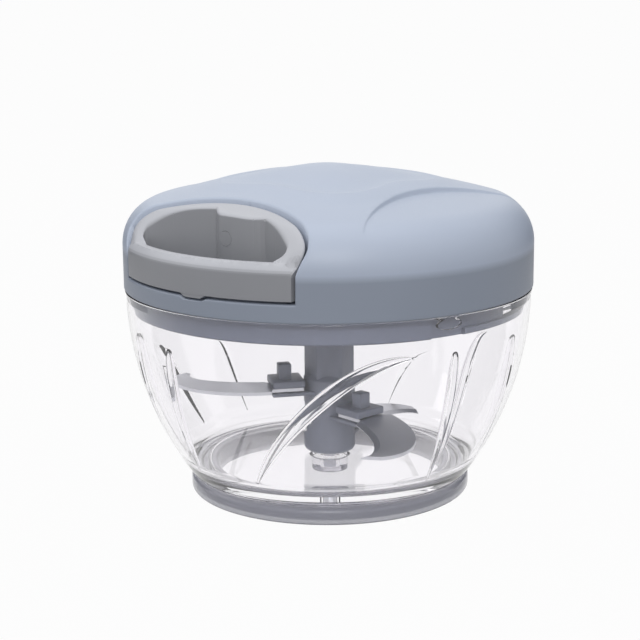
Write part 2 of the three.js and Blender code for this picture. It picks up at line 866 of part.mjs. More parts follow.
function makeLidShell() {
  const bossBottom = baseTop + seatGap;
  const outer = cut(solid(dome(0, lidEdge)), ...scallopAngles.map((degrees) => scallop(degrees, 0)));
  const innerScallops = scallopAngles.map((degrees) => scallop(degrees, lidWall));
  const cavity = cut(solid(dome(lidWall, lidEdge - overrun)), ...innerScallops);
  const rebate = solid(disc(rebateRadius, lidEdge - overrun, bossBottom, ringSides));
  const skin = cut(join(outer, cap()), cavity, rebate);
  const pocket = solid(recessBody(handleGap, recessFloor, overallHeight + overrun));
  const inside = solid(dome(lidWall / 2, baseTop));
  const bosses = bossAngles.map((degrees) => {
    const column = solid(post(bossRadius, bossBottom, crownTop, bossPlace, degrees));
    return column.intersect(inside);
  });
  const pilots = screwHoles(lidEdge, baseBottom + screwLength + overrun);
  const axleBoss = solid(disc(axleBossRadius, axleBossBottom, crownTop - lidWall / 2, tubeSides));
  const axleBore = solid(disc(axleRadius + seatGap, axleBossBottom - overrun, axleTop + seatGap, pinSides));
  const holeStart = recessRear - overrun;
  const cordHole = solid(alongCord(eyeletRadius + seatGap, holeStart, recessReach + overrun, pinSides));
  const body = join(skin, pocketSkin().intersect(outer), ...bosses, axleBoss);
  return cut(body, pocket, tabNotch(), ...pilots, axleBore, cordHole);
}

piece('lid_shell', makeLidShell(), lidBlue());

// Lid base: plate, bayonet skirt and the collar that the drive tube turns in
const skirtRadius = wallRadius(skirtBottom, bowlWall) - runningGap;
const skirtInner = skirtRadius - skirtThickness;
const collarBore = driveTubeRadius + runningGap;

function makeLidBase() {
  const plate = solid(ringed([
    [collarBore, collarBottom],
    [collarBore + collarWall, collarBottom],
    [collarBore + collarWall, baseBottom],
    [skirtInner, baseBottom],
    [skirtInner, skirtBottom],
    [skirtRadius, skirtBottom],
    [skirtRadius, neckBottom],
    [skirtRadius - neckInset, neckBottom],
    [skirtRadius - neckInset, baseBottom],
    [baseRadius, baseBottom],
    [baseRadius, baseTop],
    [collarBore, baseTop],
  ], ringSides));
  const grooveFloor = skirtRadius - grooveDepth;
  const outside = skirtRadius + overrun;
  const cutter = (inner, from, to, low) => {
    return solid(sector(inner, outside, from, to, low, neckBottom, slotSteps));
  };
  const slots = lugAngles.flatMap((degrees) => {
    const offset = degrees - lugAngles[0];
    const start = degrees - entryHalfAngle;
    return [
      cutter(grooveFloor, start, degrees + entryHalfAngle, skirtBottom - overrun),
      cutter(grooveFloor, start, windowEnd + offset, grooveBottom),
      cutter(skirtInner - overrun, windowStart + offset, windowEnd + offset, grooveBottom),
    ];
  });
  return cut(plate, ...slots, ...screwHoles(baseBottom - overrun, baseTop + overrun));
}

piece('lid_base', makeLidBase(), skirtBlue());

const sealInner = skirtRadius - neckInset + seatGap;
piece('seal_ring', ringed([
  [sealInner, lidEdge],
  [baseRadius, lidEdge],
  [baseRadius, lidEdge + sealThickness],
  [sealInner, lidEdge + sealThickness],
], ringSides), softClear());

bossAngles.forEach((degrees, i) => {
  const headTopHeight = baseBottom - seatGap;
  const screw = turned([
    [0, headTopHeight - screwHeadHeight],
    [screwHeadRadius, headTopHeight - screwHeadHeight],
    [screwHeadRadius, headTopHeight],
    [screwRadius, headTopHeight],
    [screwRadius, headTopHeight + screwLength],
    [0, headTopHeight + screwLength],
  ], pinSides);
  piece(`lid_screw_${i + 1}`, screw.translate(0, -bossPlace, 0).rotateZ(rad(degrees)), steel());
});

// Eyelet in the rear wall of the recess, with a wide mouth towards the spool
const eyeletFront = recessReach - handleGap + seatGap;
piece('cord_eyelet', ringed([
  [eyeletBore, eyeletFront],
  [eyeletRadius, eyeletFront],
  [eyeletRadius, recessRear - seatGap],
  [eyeletFlange, recessRear - seatGap],
  [eyeletFlange, eyeletMouth],
  [eyeletRadius, eyeletMouth],
  [eyeletBore, recessRear],
], pinSides).rotateX(Math.PI / 2).translate(cordOffset, 0, cordHeight), steel());

// Axle, its washer and its screw
const washerTop = spoolWebBottom - runningGap;
const axleScrewTop = washerTop - washerThickness - seatGap;
piece('spool_axle', turned([
  [screwRadius + seatGap, axleBottom],
  [axleRadius, axleBottom],
  [axleRadius, axleTop],
  [0, axleTop],
  [0, axleBottom + axleScrewLength + overrun],
  [screwRadius + seatGap, axleBottom + axleScrewLength + overrun],
  [screwRadius + seatGap, axleBottom],
], pinSides), steel());

piece('axle_washer', ringed([
  [screwRadius + seatGap, washerTop - washerThickness],
  [washerRadius, washerTop - washerThickness],
  [washerRadius, washerTop],
  [screwRadius + seatGap, washerTop],
], tubeSides), steel());

piece('axle_screw', turned([
  [0, axleScrewTop - screwHeadHeight],
  [screwHeadRadius, axleScrewTop - screwHeadHeight],
  [screwHeadRadius, axleScrewTop],
  [screwRadius, axleScrewTop],
  [screwRadius, axleBottom + axleScrewLength],
  [0, axleBottom + axleScrewLength],
], pinSides), steel());

// One-way drive: tube with inner ribs for the rotor's dogs, and two pawls on its flange
function makeDriveHub() {
  const body = solid(turned([
    [0, socketTop],
    [driveTubeBore, socketTop],
    [driveTubeBore, driveTubeBottom],
    [driveTubeRadius, driveTubeBottom],
    [driveTubeRadius, driveFlangeBottom],
    [driveFlangeRadius, driveFlangeBottom],
    [driveFlangeRadius, driveFlangeTop],
    [0, driveFlangeTop],
  ], wheelSides));
  const ribs = [];
  for (let i = 0; i < dogCount; i += 1) {
    const middle = (360 * (i + 0.5)) / dogCount;
    const inner = driveTubeBore - dogProud;
    const outer = driveTubeBore + driveTubeWall / 2;
    const top = driveFlangeBottom - socketRoof / 2;
    ribs.push(solid(block(inner, outer, dogWidth, driveTubeBottom, top, middle)));
  }
  const pinRoot = driveFlangeTop - driveFlangeThickness / 2;
  const pins = [pawlPivotAngle, pawlPivotAngle + 180].map((degrees) => {
    return solid(post(pawlPinRadius, pinRoot, ratchetBottom + pawlThickness, pawlPivotPlace, degrees));
  });
  return join(body, ...ribs, ...pins);
}

function makePawl(turn) {
  const eye = new THREE.Vector2(...flat(pawlPivotPlace, pawlPivotAngle));
  const tip = new THREE.Vector2(...flat(pawlTipReach, pawlTipAngle));
  const heading = tip.clone().sub(eye).angle();
  const from = heading + Math.PI / 2;
  const outline = arc(eye.x, eye.y, pawlEyeRadius, from, from + Math.PI, eyeSteps);
  const side = new THREE.Vector2(-Math.sin(heading), Math.cos(heading)).multiplyScalar(pawlTipWidth / 2);
  outline.push([tip.x - side.x, tip.y - side.y], [tip.x + side.x, tip.y + side.y]);
  const hole = arc(eye.x, eye.y, pawlPinRadius + seatGap, 0, 2 * Math.PI, pinSides).slice(1);
  const body = prism(outline, ratchetBottom, ratchetBottom + pawlThickness, [hole.reverse()]);
  return body.rotateZ(rad(turn));
}

piece('drive_hub', makeDriveHub(), innerWhite());
piece('pawl_1', makePawl(0), rotorGrey());
piece('pawl_2', makePawl(180), rotorGrey());

// Spool: ratchet ring below, cord groove around, spring chamber inside
function ratchetTeethOutline() {
  const outline = [];
  const pitch = 360 / ratchetTeeth;
  for (let i = 0; i < ratchetTeeth; i += 1) {
    outline.push(flat(ratchetTipRadius, i * pitch));
    outline.push(flat(ratchetTipRadius + ratchetDepth, (i + 1) * pitch - ratchetFace));
  }
  return outline;
}

// Where the cord leaves the winding on its way to the eyelet
const eyeletPoint = new THREE.Vector2(cordOffset, -eyeletMouth);
const leaveTurn = Math.acos(windingRadius / eyeletPoint.length());
const leaveAngle = eyeletPoint.angle() + leaveTurn;
const leaveSpoke = new THREE.Vector2(Math.cos(leaveAngle), Math.sin(leaveAngle));
const leavePoint = leaveSpoke.multiplyScalar(windingRadius);
const leaveAlong = eyeletPoint.clone().sub(leavePoint).normalize();

function windingPath() {
  const steps = loopSteps * cordLoops;
  const path = [];
  for (let i = 0; i <= steps; i += 1) {
    const angle = leaveAngle + (2 * Math.PI * (steps - i)) / loopSteps;
    const z = windingBottom + (cordLoops * loopPitch * i) / steps;
    const spoke = new THREE.Vector3(Math.cos(angle), Math.sin(angle), 0);
    path.push(spoke.multiplyScalar(windingRadius).setZ(z));
  }
  const last = path[path.length - 1];
  const straight = new THREE.Vector3(leaveAlong.x, leaveAlong.y, 0);
  path.push(last.clone().addScaledVector(straight, 2 * cordRadius));
  return path;
}

const winding = windingPath();
console.log('least gap in the cord winding, mm:', leastGap(winding, 2 * cordRadius, loopSteps / 2).toFixed(3));

function makeSpool() {
  const body = solid(ringed([
    [axleRadius + runningGap, spoolWebBottom],
    [spoolFlangeRadius, spoolWebBottom],
    [spoolFlangeRadius, grooveLow],
    [drumRadius, grooveLow],
    [drumRadius, grooveHigh],
    [spoolFlangeRadius, grooveHigh],
    [spoolFlangeRadius, spoolTop],
    [chamberRadius, spoolTop],
    [chamberRadius, spoolWebTop],
    [axleRadius + runningGap, spoolWebTop],
  ], wheelSides));
  const rim = arc(0, 0, ratchetRadius, 0, 2 * Math.PI, wheelSides).slice(1);
  const joinHeight = spoolWebBottom + spoolWebThickness / 2;
  const ratchet = solid(prism(rim, ratchetBottom, joinHeight, [ratchetTeethOutline()]));
  const webFill = solid(ringed([
    [ratchetTipRadius - ratchetDepth, spoolWebBottom],
    [ratchetRadius, spoolWebBottom],
    [ratchetRadius, joinHeight],
    [ratchetTipRadius - ratchetDepth, joinHeight],
  ], wheelSides));
  return join(body, ratchet, webFill, solid(cordAnchor()));
}

// Small stop on the drum that the winding's inner end butts against
function cordAnchor() {
  const [start, next] = winding;
  const along = next.clone().sub(start).normalize();
  const middle = start.clone().addScaledVector(along, -seatGap - anchorWidth / 2);
  const box = new THREE.BoxGeometry(anchorWidth, anchorDepth, 2 * cordRadius);
  box.rotateZ(Math.atan2(along.y, along.x));
  const inward = new THREE.Vector3(-start.x, -start.y, 0).normalize();
  middle.addScaledVector(inward, seatGap * 2);
  return box.translate(middle.x, middle.y, middle.z);
}

piece('spool', makeSpool(), innerWhite());
piece('cord_winding', tube(winding, cordRadius, windingSides), cordWhite());

// Flat recoil spring, wound from the axle out to the wall of its chamber
function makeSpring() {
  const steps = springSteps * springTurns;
  const inner = axleRadius + runningGap + springStrip / 2;
  const outer = chamberRadius - runningGap - springStrip / 2;
  const low = spoolWebTop + runningGap;
  const high = coverBottom - coverLip - springRoom;
  const middle = [];
  const rings = [];
  for (let i = 0; i <= steps; i += 1) {
    const radius = inner + ((outer - inner) * i) / steps;
    const degrees = (360 * i) / springSteps;
    const near = radius - springStrip / 2;
    const far = radius + springStrip / 2;
    middle.push(around(radius, degrees, low));
    rings.push([
      around(near, degrees, low),
      around(near, degrees, high),
      around(far, degrees, high),
      around(far, degrees, low),
    ]);
  }
  const gap = leastGap(middle, springStrip, springSteps / 2);
  console.log('least gap in the recoil spring, mm:', gap.toFixed(3));
  return loft(rings);
}

piece('recoil_spring', makeSpring(), springSteel());

piece('spring_cover', ringed([
  [axleRadius + runningGap, coverBottom],
  [chamberRadius - seatGap - coverLip, coverBottom],
  [chamberRadius - seatGap - coverLip, coverBottom - coverLip],
  [chamberRadius - seatGap, coverBottom - coverLip],
  [chamberRadius - seatGap, coverBottom],
  [coverRadius, coverBottom],
  [coverRadius, coverBottom + coverThickness],
  [axleRadius + runningGap, coverBottom + coverThickness],
], tubeSides), innerWhite());

// Finger slot of the handle, between the grip bar and the rear wall
function fingerSlot() {
  const front = solid(disc(lidRadius - gripWall, 0, overallHeight, wheelSides * 2));
  const rearArc = disc(recessBow - rearWall, 0, overallHeight, wheelSides * 2);
  const rear = solid(rearArc.translate(0, -(recessReach + recessBow), 0));
  const width = 2 * (handleHalfWidth - endWall);
  return front.intersect(rear).intersect(solid(block(0, lidRadius, width, 0, overallHeight, 0)));
}

function cordBossOutline() {
  const rear = recessReach + rearWall / 2;
  const front = bossFace;
  const neck = recessReach + rearWall;
  const spread = cordBossHalfWidth + cordBossSpread;
  return [
    [cordOffset - spread, -rear],
    [cordOffset - spread, -neck],
    [cordOffset - cordBossHalfWidth, -(front - cordBossProud / 4)],
    [cordOffset - cordBossHalfWidth / 2, -front],
    [cordOffset + cordBossHalfWidth / 2, -front],
    [cordOffset + cordBossHalfWidth, -(front - cordBossProud / 4)],
    [cordOffset + spread, -neck],
    [cordOffset + spread, -rear],
  ];
}

// Space over the grip bar: its top is rounded at the front and steps up at both ends
function overGrip() {
  const round = arc(lidRadius - gripRound, gripTop - gripRound, gripRound, 0, Math.PI / 2, cornerSteps);
  const top = overallHeight + overrun;
  const space = solid(turned([
    [0, gripTop],
    ...round.reverse(),
    [lidRadius + overrun, gripTop - gripRound],
    [lidRadius + overrun, top],
    [0, top],
  ], ringSides));
  const low = gripTop - gripRound * 2;
  const width = lidRadius + overrun;
  const slopeStart = lidRadius - gripShoulder;
  const slopeEnd = slopeStart - gripSlopeRun;
  const side = [
    [-width, low],
    [-slopeStart, low],
    [-slopeStart, gripTop],
    [-slopeEnd, gripTop + gripSlopeRise],
    [-slopeEnd, top],
    [-width, top],
  ];
  const slab = prism(side, -width, width).rotateX(Math.PI / 2).rotateZ(Math.PI / 2);
  return space.intersect(solid(slab));
}

// Handle: a finger loop whose grip bar carries on the lid's front, with a boss for the cord
function makeHandle() {
  const plan = solid(recessBody(0, handleBottom, overallHeight));
  const body = plan.intersect(solid(dome(0, handleBottom - overrun)));
  const under = solid(dome(handleDrop, handleBottom - overrun));
  const barInner = lidRadius - gripWall - gripRound;
  const bar = solid(ringed([
    [barInner, handleBottom - overrun],
    [lidRadius, handleBottom - overrun],
    [lidRadius, gripTop],
    [barInner, gripTop],
  ], wheelSides * 2));
  const loop = cut(body.intersect(join(under, bar)), overGrip(), fingerSlot());
  const boss = solid(prism(cordBossOutline(), handleBottom, overallHeight)).intersect(under);
  const tabLow = handleBottom - tabDrop;
  const tabInner = lidRadius - tabDepth;
  const tabSpan = [-tabHalfAngle, tabHalfAngle];
  const tab = solid(sector(tabInner, lidRadius, ...tabSpan, tabLow, handleBottom + tabDepth, innerArcSteps));
  const cordBore = solid(alongCord(cordRadius + seatGap * 2, recessReach - overrun, bossFace, pinSides));
  const knotBack = knotCentre - knotRadius - seatGap;
  const knotPocket = solid(alongCord(knotPocketRadius, knotBack, bossFace + overrun, pinSides));
  return cut(join(loop, boss, tab), cordBore, knotPocket);
}

piece('pull_handle', makeHandle(), handleGrey());

// Cord from the winding through the eyelet to its knot in the handle's boss
function makePullCord() {
  const start = leavePoint.clone().addScaledVector(leaveAlong, 2 * cordRadius + seatGap);
  const bend = leavePoint.distanceTo(eyeletPoint) - cordRadius * 2;
  const nearEyelet = leavePoint.clone().addScaledVector(leaveAlong, bend);
  const path = new THREE.CurvePath();
  const points = [
    new THREE.Vector3(start.x, start.y, cordHeight),
    new THREE.Vector3(nearEyelet.x, nearEyelet.y, cordHeight),
    new THREE.Vector3(cordOffset, -eyeletMouth - cordRadius, cordHeight),
    new THREE.Vector3(cordOffset, -(knotCentre - knotRadius - seatGap), cordHeight),
  ];
  path.add(new THREE.LineCurve3(points[0], points[1]));
  path.add(new THREE.QuadraticBezierCurve3(
    points[1],
    new THREE.Vector3(cordOffset, -eyeletMouth, cordHeight),
    points[2],
  ));
  path.add(new THREE.LineCurve3(points[2], points[3]));
  const outline = arc(0, 0, cordRadius, 0, 2 * Math.PI, cordSides).slice(1);
  const section = new THREE.Shape(outline.map(([x, y]) => new THREE.Vector2(x, y)));
  const options = { steps: cordSteps, extrudePath: path, curveSegments: 1 };
  return new THREE.ExtrudeGeometry(section, options);
}

piece('pull_cord', makePullCord(), cordWhite());

const knot = new THREE.SphereGeometry(knotRadius, pinSides, cordSides).rotateX(Math.PI / 2);
piece('cord_knot', knot.translate(cordOffset, -knotCentre, cordHeight), cordWhite());
const plug = alongCord(knotPocketRadius - seatGap, bossFace - plugThickness, bossFace, pinSides);
piece('cord_plug', plug, handleGrey());

export default chopper;
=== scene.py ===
"""Looks of a pull-cord food chopper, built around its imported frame.

Heights and radii in the shapes are millimetres, in the frame's own axes: +Z up, origin at the
bottom centre, handle facing -Y. Angles are degrees from the handle towards +X.
"""

import math

import bmesh
import bpy
import numpy as np
from mathutils import Euler, Matrix, Vector, kdtree
from mathutils.geometry import delaunay_2d_cdt


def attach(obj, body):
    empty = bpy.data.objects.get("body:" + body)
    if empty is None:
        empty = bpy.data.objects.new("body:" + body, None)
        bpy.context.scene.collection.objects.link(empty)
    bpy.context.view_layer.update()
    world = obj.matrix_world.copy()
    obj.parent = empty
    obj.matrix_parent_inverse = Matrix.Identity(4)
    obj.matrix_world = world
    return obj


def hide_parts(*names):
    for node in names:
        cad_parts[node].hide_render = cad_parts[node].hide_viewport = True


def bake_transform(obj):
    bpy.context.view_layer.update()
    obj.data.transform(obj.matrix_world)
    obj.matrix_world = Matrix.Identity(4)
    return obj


bl_info = {
    "name": "Pull-Cord Food Chopper",
    "version": (1, 0, 0),
    "blender": (4, 5, 0),
    "location": "3D View > Sidebar > Chopper",
    "description": "Builds the bowl, rotor, lid, handle and stage around the packed frame",
    "category": "Object",
}

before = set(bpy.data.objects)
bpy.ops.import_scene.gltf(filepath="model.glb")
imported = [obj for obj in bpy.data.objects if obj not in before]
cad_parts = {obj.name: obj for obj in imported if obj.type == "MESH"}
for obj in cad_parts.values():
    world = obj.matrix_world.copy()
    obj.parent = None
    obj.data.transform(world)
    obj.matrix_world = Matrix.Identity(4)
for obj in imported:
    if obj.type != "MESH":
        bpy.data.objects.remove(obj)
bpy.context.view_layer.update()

MM = 0.001

# Heights clear of the lid, and the segments of its round
ABOVE = 104.0
BELOW = 60.0
FINE_TURN = 192
QUARTER = math.pi / 2

# Lid
LID_RADIUS = 62.5
LID_EDGE = 64.0
LID_EDGE_ROUND = 0.45
LID_WALL = 4.4
PATCH_RADIUS = 58.0
REBATE_RADIUS = 61.2
REBATE_TOP = 67.9
LID_TOP = 100.0
# Painted shade on the lid's upright wall: the share of its colour that is kept, and the heights over which
# that shade fades out
PAINTED_WALL_SHADE, WALL_DARK, WALL_LIGHT = 0.62, 75.2, 77.4
WALL_ROWS = (73.5, 72.2, 71.1, 70.4, 69.9, 69.6, 69.45, 69.3, 69.1, 68.9, 68.6, 68.2, 67, 65.8, 64.9)
CROWN_TOP = 97.6
CAP_RADIUS = 29.2
CAP_WAVE = 3.6
CAP_ROWS = (-5, -3, -1.6, -0.8, -0.3, 0.0, 0.3, 0.8, 1.6, 2.6, 4.0)
SCALLOP_ANGLES = (90, 180, 270)
SCALLOP_REACH = 33.3
SCALLOP_RIM = 60.0
SCALLOP_BOW = 75.0
SCALLOP_EDGE = (-0.2, 0.45)
SCALLOP_ROWS = (-0.21, -0.07, 0.06, 0.19, 0.32, 0.46)
BOSS_PLACE = 47.0
BOSS_ANGLES = (62, 180, 298)
SCREW_HOLE = 1.4

# Handle and its recess
RECESS_REACH = 39.4
RECESS_BOW = 62.0
RECESS_CENTRE = -(RECESS_REACH + RECESS_BOW)
RECESS_CORNER = 4.8
RECESS_FLOOR = 69.3
RECESS_WALL = 1.4
RECESS_UNDER = 1.3
RECESS_GAP = 0.8
RECESS_ROWS = (-0.1, 0.04, 0.14, 0.32, 0.6, 0.9, 1.2)
HANDLE_HALF_WIDTH = 31.6
HANDLE_FLARE = 2.0
FLARE_BOTTOM = 76.8
FLARE_TOP = 84.2
HANDLE_BOTTOM = 70.2
GRIP_TOP = 80.4
GRIP_ROUND = 3.4
GRIP_WALL = 4.0
# Painted shade on the handle's steep faces: the share of their colour that is kept
PAINTED_GRIP_SHADE = 0.58
GRIP_ROWS = (0.03, 0.12, 0.4, 0.9, 1.6, 2.3, 3.0, 3.4)
LOOP_ROWS = (-0.15, -0.03, 0.06, 0.2, 0.42, 0.66, 0.92)
SLOT_ROWS = (-0.12, 0.0, 0.05, 0.15, 0.32, 0.54, 0.76, 0.95)
SIDE_ROWS = np.arange(-57, -47.9, 0.7)
SLOPE_ROWS = np.arange(-54, -46, 0.6)
PLAN_TURN = 37.0
PLAN_BACK = -33.0
REAR_WALL = 4.2
END_WALL = 4.2
SLOT_CORNER = 0.5
SLOT_MIDDLE = -54.2
SLOPE_START = -53.5
SLOPE_END = -47.0
SLOPE_RISE = 9.0
SLOPE_BLEND = 1.6
CORD_X = 2.0
CORD_HEIGHT = 83.8
CORD_RADIUS = 0.9
CORD_BORE = 1.3
TUNNEL_RADIUS = 2.8
TUNNEL = (34, 41)
POCKET_RADIUS = 2.3
MOUTH_RADIUS = 2.23
EYELET_MOUTH = -35.6
WINDING_RADIUS = 18.0
WINDING_LOW = 76.9
WINDING_TURNS = 3
WINDING_TAIL = 6.9
CORD_START = 7.1
CORD_BEND = (-1.8, 0.9)
BOSS_FACE = 47.8
BOSS_LEFT = ((-6.0, -43.2), (-0.8, -BOSS_FACE))
BOSS_RIGHT = ((11.4, -BOSS_FACE), (18.4, -43.8))
KNOT_CENTRE = 44.4
KNOT_HALF = 2.2
TAB_TURN = 2.2
TAB_HALF_TURN = 4.9
TAB_FADE = 2.6
TAB_SINK = 0.25
TAB_DEPTH = 1.0

# Bowl and rotor
BOWL_RIM = 63.7
RIM_LIP = 62.4
RIM_TOP = 63.9
BOWL_RIM_RADIUS = 62.0
BOWL_HIP_RADIUS = 43.6
BOWL_HIP = 6.5
BOWL_BOW = 98.0
BOWL_WALL = 1.8
BOWL_FLOOR = 9.6
BOWL_CORNER = 4.0
# Each rib's start, sweep, bend, low, high and width
RIBS = (
    (13, 49, 1.0, 13, 53, 4.8),
    (77.5, -2, 0.5, 12, 53, 3.4),
    (79, 8, 2.5, 18, 57, 2.4),
    (106, -4, 0.6, 13, 53, 3.4),
    (-17.5, 8, 0.45, 12, 52, 3.4),
    (-36, 8, 0.6, 12, 53, 3.4),
    (-76, 10, 1.0, 13, 40, 2.6),
    (-103, 5, 2.0, 13, 36, 2.6),
    (194, -12, 1.6, 13, 31, 2.6),
)
LUG_ANGLES = (73.3, 253.3)
LUG_HEIGHT = 61.5
LUG_REACH = 1.5
LUG_SHAPE = (4.1, 1.7, 1, 1)
SKIRT_LOW = 57.5
SKIRT_GAP = 0.4
SKIRT_WALL = 3.3
SKIRT_NECK = 1.4
COLLAR = (11.2, 13.2, 62.5)
BASE_RADIUS = 60.9
BASE_LOW = 65.7
BASE_TOP = 67.7
SEAL = (64, 65.4, 0.4)
ENTRY_HALF_TURN = 5.5
ENTRY_LOW = 55
GROOVE_TURN = 37.7
GROOVE = (59.3, 63.7)
WINDOW_TURN = 13
# Each blade's angle, height and droop
BLADES = ((-38, 31.4, 0.0), (82, 24.0, 3.5), (202, 14.6, 0.0))
BLADE_START = 19.5
BLADE_SHARES = (1, 1.02, 0.98, 0.9, 0.78, 0.62, 0.42)
BLADE_HALF = 7.2
BLADE_TURN = 27
RIVET_PLACE = 14.3
RIVET_HOLE = 1.4
ARM_END = 18.8
ARM_WIDTH = 11
SHAFT_PROFILE = (
    (0, 27.2),
    (2.2, 27.2),
    (2.2, 10.7, 0.4),
    (8, 10.7, 1.6),
    (8, 34, 0.8),
    (6.4, 36, 0.5),
    (6.4, 65.4, 0.5),
    (0, 65.4),
)
HEX_RADIUS = 7.8
HEX_TURN = 10
HEX = (34.2, 49.7)
# Start, end, width, low and high
DOG = (3.2, 8.6, 2.26, 50.4, 65.3)


def sRGB(red, green, blue):
    """Linear colour from the 0-255 values that a screen shows"""
    shares = [value / 255 for value in (red, green, blue)]
    return tuple(s / 12.92 if s <= 0.04045 else ((s + 0.055) / 1.055) ** 2.4 for s in shares)


def length(name, description, millimetres):
    """Length property in metres, from its default in millimetres"""
    return bpy.props.FloatProperty(
        name=name, description=description, default=millimetres * MM, min=0, precision=5, unit="LENGTH"
    )


def colour(name, description, red, green, blue):
    """Colour property from the 0-255 values of its default"""
    return bpy.props.FloatVectorProperty(
        name=name, description=description, default=sRGB(red, green, blue), min=0, max=1, subtype="COLOR"
    )


class ChopperSizes(bpy.types.PropertyGroup):
    """Sizes that change how the chopper's pieces are finished"""

    crown_radius: length("Crown radius", "Radius of the lid's domed crown", 204)
    shoulder_radius: length("Shoulder radius", "Radius between the crown and the lid's wall", 14)
    cap_brim: length("Cap brim", "How far the cap's edge stands above the crown", 0.75)
    cap_fade: length("Cap fade", "Width over which the cap's edge runs out into the crown", 9)
    scallop_depth: length("Scallop depth", "Depth of the three scallops at the cap", 1.45)
    recess_round: length("Recess edge", "Rounding of the lid's edge around the handle", 0.8)
    handle_drop: length("Handle drop", "How far the loop lies below the dome", 1.1)
    handle_round: length("Handle edge", "Rounding of the handle's edges", 0.9)
    rib_proud: length("Rib height", "How far the ribs stand off the bowl's wall", 1.8)
    blade_thickness: length("Blade thickness", "Thickness of the steel blades", 1.0)
    blade_bevel: length("Blade bevel", "Width of the ground cutting edge", 1.8)
    screw_socket: length("Screw cross", "Width of the crossed slot in each screw's head", 0.6)


class ChopperColours(bpy.types.PropertyGroup):
    """Colours of the chopper's finishes"""

    lid: colour("Lid", "Blue-grey plastic of the lid", 182, 190, 205)
    skirt: colour("Skirt", "Plastic of the lid's base and skirt", 104, 109, 124)
    handle: colour("Handle", "Grey plastic of the handle", 190, 190, 194)
    rotor: colour("Rotor", "Grey plastic of the rotor", 114, 118, 131)
    inner: colour("Inner parts", "White plastic of the spool and the drive", 217, 218, 219)
    steel: colour("Steel", "Blades, screws and pins", 208, 209, 214)
    spring: colour("Spring steel", "Flat recoil spring", 140, 146, 155)
    cord: colour("Cord", "Braided cord", 230, 230, 226)
    bowl: colour("Bowl", "Tint of the clear bowl", 252, 251, 253)
    ring: colour("Soft rings", "Tint of the foot ring and the seal", 178, 178, 186)
    floor: colour("Floor", "Floor as it lights the chopper", 150, 150, 152)


def names_in(group):
    """Names of a group's own properties"""
    return [name for name in group.bl_rna.properties.keys() if name not in ("rna_type", "name")]


def sizes_of(context):
    """Sizes in millimetres by name"""
    group = context.scene.chopper_sizes
    return {name: getattr(group, name) / MM for name in names_in(group)}


# Mesh helpers, all in millimetres until finish_piece


def shape_object(name, points, faces, edges=()):
    mesh = bpy.data.meshes.new(name)
    mesh.from_pydata([tuple(map(float, point)) for point in points], edges, faces)
    mesh.validate()
    obj = bpy.data.objects.new(name, mesh)
    bpy.context.scene.collection.objects.link(obj)
    return obj


def turned_outwards(obj):
    """Makes a closed mesh's faces point outwards"""
    mesh = bmesh.new()
    mesh.from_mesh(obj.data)
    bmesh.ops.recalc_face_normals(mesh, faces=mesh.faces)
    if mesh.calc_volume(signed=True) < 0:
        bmesh.ops.reverse_faces(mesh, faces=mesh.faces)
    mesh.to_mesh(obj.data)
    mesh.free()
    return obj


def baked(obj):
    """Applies an object's modifiers and replaces its mesh by the result"""
    graph = bpy.context.evaluated_depsgraph_get()
    mesh = bpy.data.meshes.new_from_object(obj.evaluated_get(graph), depsgraph=graph)
    before = obj.data
    obj.modifiers.clear()
    obj.data = mesh
    bpy.data.meshes.remove(before)
    return obj


def removed(obj):
    """Takes an object and its mesh out of the file"""
    mesh = obj.data
    bpy.data.objects.remove(obj)
    bpy.data.meshes.remove(mesh)


def combined(operation, body, tools):
    """Joins, cuts or crosses a body with tools, which are used up"""
    for tool in tools:
        modifier = body.modifiers.new("Shape", "BOOLEAN")
        modifier.operation = operation
        modifier.solver = "MANIFOLD"
        modifier.object = tool
    baked(body)
    for tool in tools:
        removed(tool)
    return body


def cut(body, *tools):
    return combined("DIFFERENCE", body, tools)


def join(body, *tools):
    return combined("UNION", body, tools)


def common(body, *tools):
    return combined("INTERSECT", body, tools)


def bevelled(obj, width, segments=2, angle=40):
    modifier = obj.modifiers.new("Edges", "BEVEL")
    modifier.width = width
    modifier.segments = segments
    modifier.limit_method = "ANGLE"
    modifier.angle_limit = math.radians(angle)
    modifier.use_clamp_overlap = True
    return baked(obj)


def spun(obj, degrees):
    obj.data.transform(Matrix.Rotation(math.radians(degrees), 4, "Z"))
    return obj


def around(radius, degrees):
    """Place at a radius, its angle counted from the handle towards +X"""
    turn = math.radians(degrees)
    return (radius * math.sin(turn), -radius * math.cos(turn))


def arc(centre, radius, start, end, steps):
    """Points about a centre from one turn to another, both ends included"""
    turns = np.linspace(start, end, steps + 1)
    return [(centre[0] + radius * math.cos(turn), centre[1] + radius * math.sin(turn)) for turn in turns]


def rounded(corners, steps=4, closed=True, hold=0.12):
    """Outline through corners of (a, b) or (a, b, rounding), with a point that holds each flat beside it"""
    points = []
    last = len(corners) - 1
    for i, corner in enumerate(corners):
        here = Vector(corner[:2])
        if len(corner) < 3 or (not closed and i in (0, last)):
            points.append(tuple(here))
            continue
        ways = [Vector(corners[j][:2]) - here for j in (i - 1, (i + 1) % len(corners))]
        before, after = (way.normalized() for way in ways)
        half = before.angle(after) / 2
        run = corner[2] / math.tan(half)
        centre = here + (before + after).normalized() * corner[2] / math.sin(half)
        start = (here + before * run - centre).normalized()
        end = (here + after * run - centre).normalized()
        held = [way.length > 3 * run + hold for way in ways]
        if held[0]:
            points.append(tuple(here + before * (run + hold)))
        points += [tuple(centre + start.slerp(end, i / steps) * corner[2]) for i in range(steps + 1)]
        if held[1]:
            points.append(tuple(here + after * (run + hold)))
    return points


